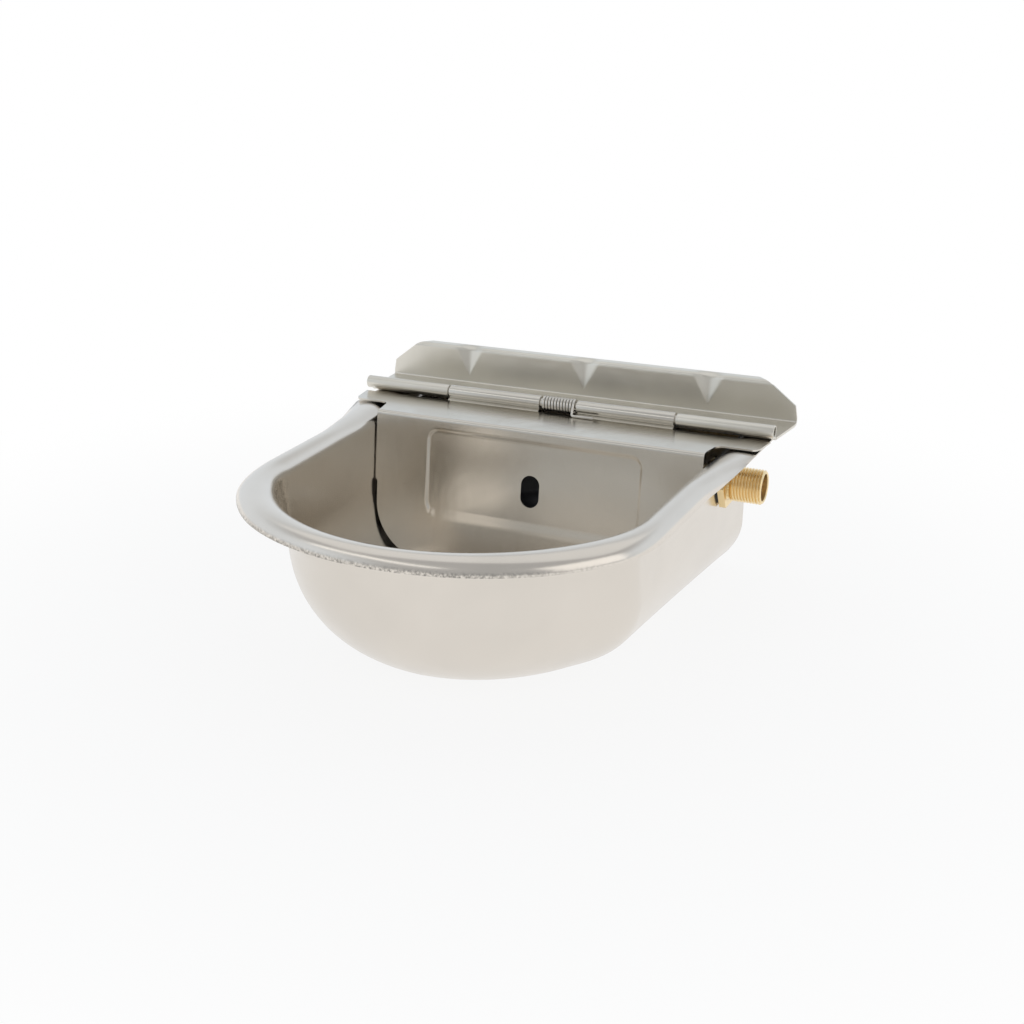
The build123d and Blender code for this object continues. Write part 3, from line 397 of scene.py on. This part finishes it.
def wall_rows(wall):
    """One face of the drawn wall from the lip's centre down to the flat bottom."""
    full = LIP_Z - wall
    straight = np.linspace(0, full - FRONT_FOOT, 8)[:-1]
    depth = np.concatenate([straight, full - FRONT_FOOT * (1 - np.sin(foot))])
    depth[-1] = full - 1e-4
    ring = outline(depth, wall)
    level = np.broadcast_to((LIP_Z - depth)[:, None, None], ring[..., :1].shape)
    rows = np.concatenate([ring[..., :2], level], -1)
    # the bottom: the last ring drawn in towards a point
    centre = np.array((0.0, 25.0, LIP_Z - full))
    shares = np.linspace(1, 0, 14)[1:, None, None]
    bottom = centre + (rows[-1:] - centre) * shares
    bottom[..., 2] = LIP_Z - full
    return np.concatenate([rows, bottom], axis=0)


def through(at, stations, values):
    """A smooth curve through the stations: a cubic between each two, with mean slopes there."""
    slopes = np.gradient(values, stations)
    slopes[0] = 0.0
    at = np.clip(at, stations[0], stations[-1])
    k = np.clip(np.searchsorted(stations, at, side="right") - 1, 0, len(stations) - 2)
    step = stations[k + 1] - stations[k]
    t = (at - stations[k]) / step
    return ((2 * t**3 - 3 * t**2 + 1) * values[k] + (t**3 - 2 * t**2 + t) * step * slopes[k]
            + (3 * t**2 - 2 * t**3) * values[k + 1] + (t**3 - t**2) * step * slopes[k + 1])


def lip_rows():
    """The rolled edge at each column: up the inside, over the crest, out, and back underneath.
    A half circle in front; towards the hinge it grows wider and drops less."""
    ring = outline(0.0, SHEET)[0]
    foot_point, normal = ring[:, :2], ring[:, 2:]
    share = corner_share(ring)
    inset = RIM_DRAW * share
    crest = foot_point + normal * (LIP_R + inset[:, None])
    stations = np.array((5.5, 35.5, 57.5, 76.5))
    width = through(crest[:, 1], stations, np.array((8.26, 11.0, 14.2, 16.2)))
    width = width + np.clip((crest[:, 1] - 76.5) / 60.5, 0, 1) * 0.6
    drop = np.maximum(through(crest[:, 1], stations, np.array((8.2, 6.6, 3.4, 0.4))), 0.4)
    rise = through(crest[:, 1], stations, np.array((8.26, 11.2, 13.8, 14.4)))
    crest_out = rise - LIP_R
    rise = rise + inset
    run = width - crest_out
    over = (run**2 + drop**2) / (2 * drop)
    end = np.arctan2(over - drop, run)
    spread = 1 + 0.40 * share * np.clip(np.abs(normal[:, 0]) * 1.6, 0, 1)
    climb = np.linspace(math.pi, math.pi / 2, 16)[:-1, None]
    turn = np.linspace(0, 1, 17)[:, None]
    angle = math.pi / 2 + (end - math.pi / 2)[None, :] * turn
    within = over - SHEET
    out = np.concatenate([
        crest_out + np.cos(climb) * rise, crest_out + spread * over * np.cos(angle),
        crest_out + spread * within * np.cos(angle[::-1]), crest_out + np.cos(climb[::-1]) * (rise - SHEET)])
    up = np.concatenate([
        np.sin(climb) * LIP_R + 0 * width, LIP_R - over + over * np.sin(angle),
        LIP_R - over + within * np.sin(angle[::-1]), np.sin(climb[::-1]) * WALL_INSET + 0 * width])
    # behind the flange the wall goes straight up instead
    behind = crest[:, 1] > 137.0
    count = len(climb)
    level = np.linspace(0, LIP_R, count, endpoint=False)[:, None]
    flat = len(turn)
    straight_out = np.concatenate([
        np.full((count, 1), -LIP_R), np.linspace(-LIP_R, -LIP_R + 0.5, flat)[:, None],
        np.linspace(-WALL_INSET - 0.5, -WALL_INSET, flat)[:, None], np.full((count, 1), -WALL_INSET)])
    straight_up = np.concatenate([level, np.full((2 * flat, 1), LIP_R), level[::-1]])
    out = np.where(behind[None, :], straight_out, out)
    up = np.where(behind[None, :], straight_up, up)
    place = crest[None, :, :] + normal[None, :, :] * out[..., None]
    return np.concatenate([place, (LIP_Z + up)[..., None]], axis=-1)


inner, outer = wall_rows(SHEET), wall_rows(0.0)
lip = lip_rows()
bowl_points = np.concatenate([inner[::-1], lip, outer], axis=0)
# the cut edge's speckled shear marks, widened by painted shade under the lip, painted weaker towards the right side
band = np.zeros(bowl_points.shape[:2])
cut_row = len(inner) + len(lip) // 2
band[cut_row - 5:cut_row + 2] = np.array((0.0, 0.3, 0.7, 1.0, 1.0, 1.0, 0.6))[:, None]
band *= np.clip((115.0 - bowl_points[..., 0]) / 60.0, 0.1, 1)
bowl_steel = finish("bowl steel", (0.75, 0.70, 0.635), 0.222, 55.0, (1.0, 1.0, 6.0), 0.05, 0.004,
                    wave=0.08, raw_edge_and_shade=True)
bowl_piece = make_piece("bowl_drawn", bowl_points, grid_faces(*bowl_points.shape[:2], closed_columns=True),
                        "bowl_body", "sheet", bowl_steel, 50.0, band)
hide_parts("bowl")

# ---- Bracket with the outer knuckles ---------------------------------------------
# Stainless sheet, 1.5 mm, welded to the bowl's rear flanges and bent up behind the hinge.
# Three darts are pressed into its top bend; the shelf's front edge is rolled round the pin.

HINGE_Y, HINGE_Z = 100.5, 104.5
bracket_steel = finish("bracket steel", (0.76, 0.73, 0.66), 0.36, 70.0, (5.0, 1.0, 1.0), 0.06, 0.004, wave=0.5)


def bent_path(corners, radii, bend_steps=12):
    """A polyline in Y and Z whose corners are arcs of the given radii."""
    corners = np.asarray(corners, float)
    pieces = [corners[:1]]
    for before, corner, after, radius in zip(corners, corners[1:], corners[2:], radii):
        into, out = corner - before, after - corner
        into, out = into / np.linalg.norm(into), out / np.linalg.norm(out)
        bend = np.arctan2(into[0] * out[1] - into[1] * out[0], into @ out)
        side = np.array((-into[1], into[0])) * np.sign(bend)
        start = corner - into * radius * np.tan(abs(bend) / 2)
        angle = np.linspace(0, bend, bend_steps)
        spoke = np.stack([-side[0] * np.cos(angle) + side[1] * np.sin(angle),
                          -side[0] * np.sin(angle) - side[1] * np.cos(angle)], axis=1)
        pieces.append(start + side * radius + radius * spoke)
    pieces.append(corners[-1:])
    return np.concatenate(pieces)


def lengths(path):
    """Distance along a polyline at each of its points."""
    return np.concatenate([[0], np.cumsum(np.linalg.norm(np.diff(path, axis=0), axis=1))])


def formed_sheet(path, rows, half, slit, lift, thickness, shares, side):
    """Formed sheet: at each row, a distance along the path, x runs from slit to half in the
    given shares, and lift pushes it along the path's normal. Its back lies a thickness behind."""
    marks = lengths(path)
    yz, before, after = (np.stack([np.interp(rows + step, marks, path[:, k]) for k in (0, 1)], axis=1)
                         for step in (0.0, -0.05, 0.05))
    ahead = after - before
    ahead /= np.linalg.norm(ahead, axis=1)[:, None]
    normal = side * np.stack([-ahead[:, 1], ahead[:, 0]], axis=1)
    x = slit[:, None] + (half - slit)[:, None] * shares[None, :]
    push = lift(x, rows[:, None] + 0 * x)
    columns, count = len(shares), len(rows) * len(shares)
    skins = [yz[:, None, :] + normal[:, None, :] * (push - depth)[..., None] for depth in (0.0, thickness)]
    right = np.concatenate([np.concatenate([x[..., None], skin], axis=-1).reshape(-1, 3) for skin in skins])
    face = grid_faces(len(rows), columns)
    row, column = np.arange(len(rows) - 1), np.arange(columns - 1)
    rim, seam = row * columns + columns - 1, row * columns
    seam = seam[(slit[:-1] > 1e-6) | (slit[1:] > 1e-6)]
    end = (len(rows) - 1) * columns + column
    faces = np.concatenate([
        face, face[:, ::-1] + count,
        np.stack([rim, rim + columns, rim + columns + count, rim + count], axis=1),
        np.stack([seam, seam + columns, seam + columns + count, seam + count], axis=1),
        np.stack([column, column + 1, column + 1 + count, column + count], axis=1),
        np.stack([end, end + 1, end + 1 + count, end + count], axis=1)])
    return joined((right, faces), (right * (-1, 1, 1), faces))


def joined(*parts):
    """Several (points, faces) pairs as one."""
    starts = np.cumsum([0] + [len(points) for points, faces in parts])
    return (np.concatenate([points for points, faces in parts]),
            np.concatenate([np.asarray(faces) + start for (points, faces), start in zip(parts, starts)]))


def turned(profile, centre=(HINGE_Y, HINGE_Z), steps=96):
    """A closed outline of (x, radius) points turned about an axis parallel to X."""
    profile = np.asarray(profile, float)
    angle = np.linspace(0, 2 * math.pi, steps, endpoint=False)[None, :]
    points = np.stack([profile[:, :1] + 0 * angle, centre[0] + profile[:, 1:] * np.cos(angle),
                       centre[1] + profile[:, 1:] * np.sin(angle)], axis=-1)
    return points.reshape(-1, 3), grid_faces(len(profile), steps, closed_rows=True, closed_columns=True)


def tube(start, end, outer, inner, edge=0.3):
    """A tube whose outer rims are rounded off."""
    bend = np.linspace(0, math.pi / 2, 5)
    near = [(start + edge * (1 - math.cos(a)), outer - edge * (1 - math.sin(a))) for a in bend]
    far = [(end - edge * (1 - math.sin(a)), outer - edge * (1 - math.cos(a))) for a in bend]
    return turned([(start, inner + 0.1)] + near + far + [(end, inner + 0.1), (end - 0.1, inner), (start + 0.1, inner)])


def eye_leaf(start, end, outer, thickness, top, reach_y):
    """The joggled strip between a rolled eye and its flat leaf: an S-shaped section along X."""
    side = 1 if reach_y > HINGE_Y else -1
    start_z, leaf_z = HINGE_Z - outer + thickness / 2, top - thickness / 2 - 0.01
    path = bent_path([(HINGE_Y, start_z), (HINGE_Y + side * 0.6 * outer, start_z + 0.3),
                      (HINGE_Y + side * (outer + 1.0), leaf_z), (reach_y, leaf_z)], (2.0, 2.0), 8)
    ahead = np.gradient(path, axis=0)
    ahead /= np.linalg.norm(ahead, axis=1)[:, None]
    normal = np.stack([-ahead[:, 1], ahead[:, 0]], axis=1) * thickness / 2
    loop = np.concatenate([path + normal, (path - normal)[::-1]])
    x = np.array((start, end))[:, None]
    points = np.stack([x + 0 * loop[:, 0], loop[:, 0] + 0 * x, loop[:, 1] + 0 * x], axis=-1).reshape(-1, 3)
    count, row = len(loop), np.arange(len(path) - 1)
    caps = np.stack([row, row + 1, count - 2 - row, count - 1 - row], axis=1)
    return points, np.concatenate([grid_faces(2, count, closed_columns=True), caps, caps + count])


UPSTAND_TOP, SHELF_TOP, SHELF_FRONT, UPSTAND_Y = 123.6, 99.4, 107.0, 142.0
BRACKET_HALF, KNUCKLE_R, PIN_CLEAR_R, DART_SPACING, DART_DEPTH = 139.5, 4.0, 3.0, 82.6, 3.2
bracket_path = bent_path([(SHELF_FRONT, SHELF_TOP), (UPSTAND_Y, SHELF_TOP), (UPSTAND_Y, UPSTAND_TOP),
                          (149.45, UPSTAND_TOP)], (1.1, 2.6))
bracket_marks = lengths(bracket_path)
bracket_rows = np.concatenate([np.linspace(0, 34, 14), np.arange(34, 62, 0.6), bracket_marks, [63, 65]])
bracket_rows = np.unique(np.round(bracket_rows, 3))
bracket_rows = bracket_rows[bracket_rows <= bracket_marks[-1]]
bracket_y = np.interp(bracket_rows, bracket_marks, bracket_path[:, 0])
bracket_z = np.interp(bracket_rows, bracket_marks, bracket_path[:, 1])
# the shelf widens backwards; the upstand tapers, then its corners are cut and its top bend mitred
shelf_half = BRACKET_HALF - 3.7 + 3.7 * np.clip((bracket_y - SHELF_FRONT) / 29, 0, 1)
taper = 1.3 * np.clip((bracket_z - 102) / 7.7, 0, 1)
corner_cut = 17.8 * np.clip((bracket_z - 109.7) / 13.9, 0, 1)
mitre = 7.0 * np.clip((bracket_y - 142.2) / 7.0, 0, 1)
bracket_half = np.where(bracket_z < 100.5, shelf_half, BRACKET_HALF - taper - corner_cut - mitre)


def darts(x, along):
    """Three soft V-shaped hollows in the top bend, each a raised cosine across; their half
    width and depth both shrink to nothing 20 mm below the top edge."""
    y = np.interp(along, bracket_marks, bracket_path[:, 0])
    z = np.interp(along, bracket_marks, bracket_path[:, 1])
    share = np.clip((z - (UPSTAND_TOP - 20.0)) / 20.0, 0, 1)
    fade = 1 - np.clip((y - 142.5) / 5.0, 0, 1)
    total = 0 * x
    for middle in (-DART_SPACING, 0.0, DART_SPACING):
        inside = np.clip(1 - np.abs(x - middle) / (11.5 * share + 1e-3), 0, 1)
        total = total + DART_DEPTH * share**1.2 * (0.5 - 0.5 * np.cos(math.pi * inside))
    return -total * fade


shares = np.linspace(0, 1, 240)
bracket_parts = [formed_sheet(bracket_path, bracket_rows, bracket_half, 0 * bracket_rows, darts, 1.5, shares, 1)]
for side in (-1, 1):
    bracket_parts.append(tube(*sorted((side * 76.6, side * 136.0)), KNUCKLE_R, PIN_CLEAR_R))
    bracket_parts.append(eye_leaf(*sorted((side * 76.25, side * 135.6)), KNUCKLE_R, 1.5, SHELF_TOP, 107.6))
bracket_piece = make_piece("bracket_formed", *joined(*bracket_parts), "bowl_body", "sheet", bracket_steel, 40.0)
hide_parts("rear_bracket")

# ---- Cover with its baffle -----------------------------------------------------
# Stainless sheet, 1 mm: a flange with two ears lies over the bowl's rim, and the
# baffle hangs from its bend. A shallow panel and an overflow slot are pressed in.

plate_steel = finish("plate steel", (0.67, 0.64, 0.58), 0.215, 70.0, (5.0, 1.0, 1.0), 0.05, 0.004, wave=0.22)
TILT = math.radians(6.6)
COVER_TOP, COVER_FRONT, COVER_REAR, NOTCH = 99.8, 57.6, 95.2, 95.2 - 76.1
BAFFLE, BAFFLE_HALF, FOOT_R, STEP_DEPTH = 93.0, 106.3, 35, 44
EAR_HALF, EAR_R, NOTCH_HALF, NOTCH_R = 135.2, 3.5, 107.8, 6
SLOT_MIDDLE, SLOT_STRAIGHT, SLOT_R = 38.2, 4, 6
PANEL_HALF, PANEL_REACH, PANEL_MIDDLE, PANEL_R, PANEL_EDGE = 70.6, 27.4, 34.2, 8.0, 2.0
COVER_KNUCKLE_R = 4.35
cover_path = bent_path([(COVER_REAR, COVER_TOP), (COVER_FRONT, COVER_TOP),
                        (COVER_FRONT - BAFFLE * math.sin(TILT), COVER_TOP - BAFFLE * math.cos(TILT))], (2.6,), 16)
cover_end = lengths(cover_path)[-1]
BEND = cover_end - BAFFLE
quarter_turn = np.linspace(0, math.pi / 2, 22)
cover_rows = np.concatenate([
    np.arange(0, 15, 2.5), NOTCH - EAR_R + EAR_R * np.sin(quarter_turn),
    NOTCH + 0.02 + NOTCH_R * (1 - np.cos(quarter_turn)), np.arange(27, BEND + 5, 2.0), lengths(cover_path),
    np.arange(BEND + 5, cover_end - FOOT_R, 0.9),
    BEND + SLOT_MIDDLE + SLOT_STRAIGHT + SLOT_R * np.sin(quarter_turn),
    BEND + SLOT_MIDDLE - SLOT_STRAIGHT - SLOT_R * np.sin(quarter_turn),
    cover_end - FOOT_R + FOOT_R * np.sin(quarter_turn)])
cover_rows = np.unique(np.round(cover_rows, 3))
cover_rows = cover_rows[cover_rows <= cover_end]
below = cover_rows - BEND
# half widths: ears with a small round, a notch in front of them, and the baffle with round feet
ear = np.where(cover_rows < NOTCH - EAR_R, EAR_HALF - 2.8 * cover_rows / NOTCH,
               128.9 + np.sqrt(np.clip(EAR_R**2 - (cover_rows - NOTCH + EAR_R) ** 2, 0, None)))
notch_arc = NOTCH_HALF + NOTCH_R - np.sqrt(np.clip(NOTCH_R**2 - (cover_rows - NOTCH - NOTCH_R) ** 2, 0, None))
neck = np.where(cover_rows < NOTCH + NOTCH_R, notch_arc,
                NOTCH_HALF - 1.5 * np.clip((cover_rows - NOTCH - NOTCH_R) / 7.3, 0, 1))
foot_half = BAFFLE_HALF - 1.4 * np.clip((below - STEP_DEPTH) / 1.4, 0, 1)
past_foot = np.clip(below - (BAFFLE - FOOT_R), 0, FOOT_R)
foot_half = foot_half - FOOT_R + np.sqrt(np.clip(FOOT_R**2 - past_foot**2, 0, None))
cover_half = np.where(cover_rows < NOTCH + 0.01, ear, np.where(below < 0, neck, foot_half))
slot_end = np.clip(np.abs(below - SLOT_MIDDLE) - SLOT_STRAIGHT, 0, SLOT_R)
in_slot = np.abs(below - SLOT_MIDDLE) < SLOT_STRAIGHT + SLOT_R - 0.001
slot_half = np.where(in_slot, np.sqrt(SLOT_R**2 - slot_end**2), 0.0)


def panel(x, along):
    """The panel lies 1 mm behind the baffle: d is the distance inside a rounded rectangle,
    and the sheet goes back by s(d / 2), where s(t) = 3t^2 - 2t^3."""
    reach_x = np.abs(x) - (PANEL_HALF - PANEL_R)
    reach_y = np.abs(along - BEND - PANEL_MIDDLE) - (PANEL_REACH - PANEL_R)
    outside = np.hypot(np.maximum(reach_x, 0), np.maximum(reach_y, 0)) - PANEL_R
    outside = outside + np.minimum(np.maximum(reach_x, reach_y), 0)
    t = np.clip(-outside / PANEL_EDGE, 0, 1)
    return -t * t * (3 - 2 * t)


# the columns stand closer beside the slot and at the panel's edge
place = np.linspace(0, 1, 1200)
across = place * 106
density = 1 + 2.2 * np.exp(-(((across - 69) / 3.5) ** 2)) + 1.2 * np.exp(-((across / 7) ** 2))
shares = np.interp(np.linspace(0, 1, 118), np.cumsum(density) / density.sum(), place)
shares[0], shares[-1] = 0.0, 1.0
cover_parts = [formed_sheet(cover_path, cover_rows, cover_half, slot_half, panel, 1.0, shares, -1)]
for side in (-1, 1):
    cover_parts.append(tube(*sorted((side * 12.4, side * 75.4)), COVER_KNUCKLE_R, PIN_CLEAR_R))
    cover_parts.append(eye_leaf(*sorted((side * 12.6, side * 75.5)), COVER_KNUCKLE_R, 1.0, COVER_TOP, 94.6))
cover_piece = make_piece("cover_formed", *joined(*cover_parts), "cover_body", "sheet", plate_steel, 40.0)
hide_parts("cover")

# ---- Spring ----------------------------------------------------------------------
# A torsion spring of 1.7 mm bright wire round the pin presses the cover shut.
# One end bears on the cover's flange and the other on the bracket's shelf.

rod_steel = finish("rod steel", (0.66, 0.63, 0.58), 0.215, 90.0, (8.0, 1.0, 1.0), 0.05, 0.005)
LEAVE = math.radians(30)
WIRE_R, COIL_R, COIL_PITCH, LEG = 0.85, 4.1, 2.0, 14.0
turns = 10 + 1 / 3
sweep_angle = np.linspace(0, 2 * math.pi * turns, 620)
coil = np.stack([COIL_PITCH * sweep_angle / (2 * math.pi) - turns, HINGE_Y + COIL_R * np.cos(sweep_angle + LEAVE),
                 HINGE_Z + COIL_R * np.sin(sweep_angle + LEAVE)], axis=1)


def wire_leg(start, ahead, level, reach):
    """From the end of the coil straight down to the sheet, round a 1.6 mm bend and along it."""
    ahead = ahead / np.linalg.norm(ahead)
    landing = start + ahead * (level - start[2]) / ahead[2]
    out = np.array((np.sign(reach), 0.0, 0.0))
    turn = math.acos(float(ahead @ out))
    cut = 1.6 * math.tan(turn / 2)
    share = np.linspace(0, 1, 12)[:, None]
    enter, leave = landing - ahead * cut, landing + out * cut
    curve = (1 - share) ** 2 * enter + 2 * share * (1 - share) * landing + share**2 * leave
    down = start + (enter - start) * np.linspace(0, 1, 6)[1:-1, None]
    return np.concatenate([down, curve, landing[None] + out * abs(reach)])


first, last = coil[1] - coil[0], coil[-1] - coil[-2]
wire_path = np.concatenate([wire_leg(coil[0], -first, SHELF_TOP + WIRE_R + 0.1, -LEG)[::-1], coil,
                            wire_leg(coil[-1], last, COVER_TOP + WIRE_R, LEG)])


def swept_round(path, radius, steps=14):
    """A round wire along a path, with domed ends: rings square to the path's direction."""
    ahead = np.gradient(path, axis=0)
    ahead /= np.linalg.norm(ahead, axis=1)[:, None]
    side = np.cross(ahead, np.array((0.31, 0.87, 0.38)))
    side /= np.linalg.norm(side, axis=1)[:, None]
    other = np.cross(ahead, side)
    angle = np.linspace(0, 2 * math.pi, steps, endpoint=False)[None, :, None]
    rings = path[:, None, :] + radius * (side[:, None, :] * np.cos(angle) + other[:, None, :] * np.sin(angle))
    tips = [np.repeat((path[:1] - ahead[:1] * radius * 0.25)[:, None], steps, axis=1),
            np.repeat((path[-1:] + ahead[-1:] * radius * 0.25)[:, None], steps, axis=1)]
    domes = [0.8 * rings[:1] + 0.2 * path[0] - ahead[0] * radius * 0.2,
             0.8 * rings[-1:] + 0.2 * path[-1] + ahead[-1] * radius * 0.2]
    rings = np.concatenate([tips[0], domes[0], rings, domes[1], tips[1]])
    return rings.reshape(-1, 3), grid_faces(len(rings), steps, closed_columns=True)


spring_piece = make_piece("spring_wire", *swept_round(wire_path, WIRE_R), "cover_body", "spring", rod_steel, 50.0)
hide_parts("lid_spring")

# ---- Inlet ------------------------------------------------------------------------
# A turned brass valve body is held in the side wall by a thin hexagonal lock nut; its
# stub carries a G1/2 pipe thread with a pitch of 1.814 mm.

brass = finish("brass", (0.98, 0.78, 0.45), 0.33, 120.0, (1.0, 6.0, 6.0), 0.10, 0.005)
INLET_Y, INLET_Z = 92.1, 72.4
THREAD_START, THREAD_END = 115.6, 134.4


def threaded_stub():
    """A thread cut on a tube: r = root + depth * w(x / pitch - angle / 2 pi), where w is a
    rounded ridge, held under a chamfer at each end; the bore runs through it."""
    pitch, root, crest, steps = 1.814, 9.32, 10.4775, 120
    x = np.linspace(THREAD_START, THREAD_END, 210)[:, None]
    angle = np.linspace(0, 2 * math.pi, steps, endpoint=False)[None, :]
    phase = (x / pitch - angle / (2 * math.pi)) % 1.0
    ridge = 0.5 - 0.5 * np.cos(2 * math.pi * phase)
    ridge = np.clip(1.25 * ridge - 0.1, 0, 1)
    radius = root + (crest - root) * ridge
    radius = np.minimum(radius, 9.35 + np.minimum(x - THREAD_START, (THREAD_END - x) * 1.1))
    outer = np.stack([x + 0 * angle, INLET_Y + radius * np.cos(angle), INLET_Z + radius * np.sin(angle)], axis=-1)
    bore_x = np.array((THREAD_END, THREAD_END - 0.5, THREAD_START))[:, None]
    bore_r = np.array((8.7, 8.2, 8.2))[:, None]
    bore = np.stack([bore_x + 0 * angle, INLET_Y + bore_r * np.cos(angle), INLET_Z + bore_r * np.sin(angle)], axis=-1)
    points = np.concatenate([outer, bore])
    return points.reshape(-1, 3), grid_faces(len(points), steps, closed_rows=True, closed_columns=True)


make_piece("inlet_stub", *threaded_stub(), "bowl_body", "brass", brass, 40.0)

# the rest of the valve body is a merged copy, cut off where the threaded stub starts
valve_mesh = frame["nodes"]["valve_body"].data.copy()
valve_mesh.name = "valve_turned"
work = bmesh.new()
work.from_mesh(valve_mesh)
bmesh.ops.remove_doubles(work, verts=work.verts, dist=0.003 * MM)
work.to_mesh(valve_mesh)
work.free()
valve_piece = bpy.data.objects.new("valve_turned", valve_mesh)
bpy.context.scene.collection.objects.link(valve_piece)
valve_mesh.shade_smooth()
valve_mesh.set_sharp_from_angle(angle=math.radians(30))
spots = np.zeros(len(valve_mesh.vertices) * 3)
valve_mesh.vertices.foreach_get("co", spots)
spots = spots.reshape(-1, 3)
beyond = spots[:, 0] > THREAD_START * MM
spots[beyond, 0] = THREAD_START * MM + 0.00001
valve_mesh.vertices.foreach_set("co", spots.reshape(-1))
valve_mesh.materials.clear()
valve_mesh.materials.append(brass)
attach(valve_piece, "bowl_body")
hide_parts("valve_body")

# ---- Other pieces, carried over from the frame ---------------------------------
# The pin, valve, lever and float keep their turned and moulded shapes and take
# their own finishes: bright rod, machined brass, moulded plastic and black rubber.

even = (1.0, 1.0, 1.0)
rubber = finish("rubber", (0.03, 0.03, 0.03), 0.6, 90.0, even, 0.1, 0.02, metal=0.0)
white_plastic = finish("white plastic", (0.85, 0.84, 0.8), 0.5, 90.0, even, 0.05, 0.02, metal=0.0)
float_plastic = finish("float plastic", (0.035, 0.035, 0.04), 0.5, 90.0, even, 0.05, 0.02, metal=0.0)
blue_plastic = finish("blue plastic", (0.16, 0.22, 0.34), 0.45, 90.0, even, 0.05, 0.02, metal=0.0)
finishes = {"sheet": plate_steel, "rod": rod_steel, "spring": rod_steel, "brass": brass,
            "rubber": rubber, "nozzle": white_plastic, "piston": blue_plastic, "float": float_plastic}
slots = {row["node"]: row["material_slot"] for row in frame["record"]["subparts"]}
for name, node in frame["nodes"].items():
    node.data.materials.clear()
    node.data.materials.append(finishes[slots[name]])
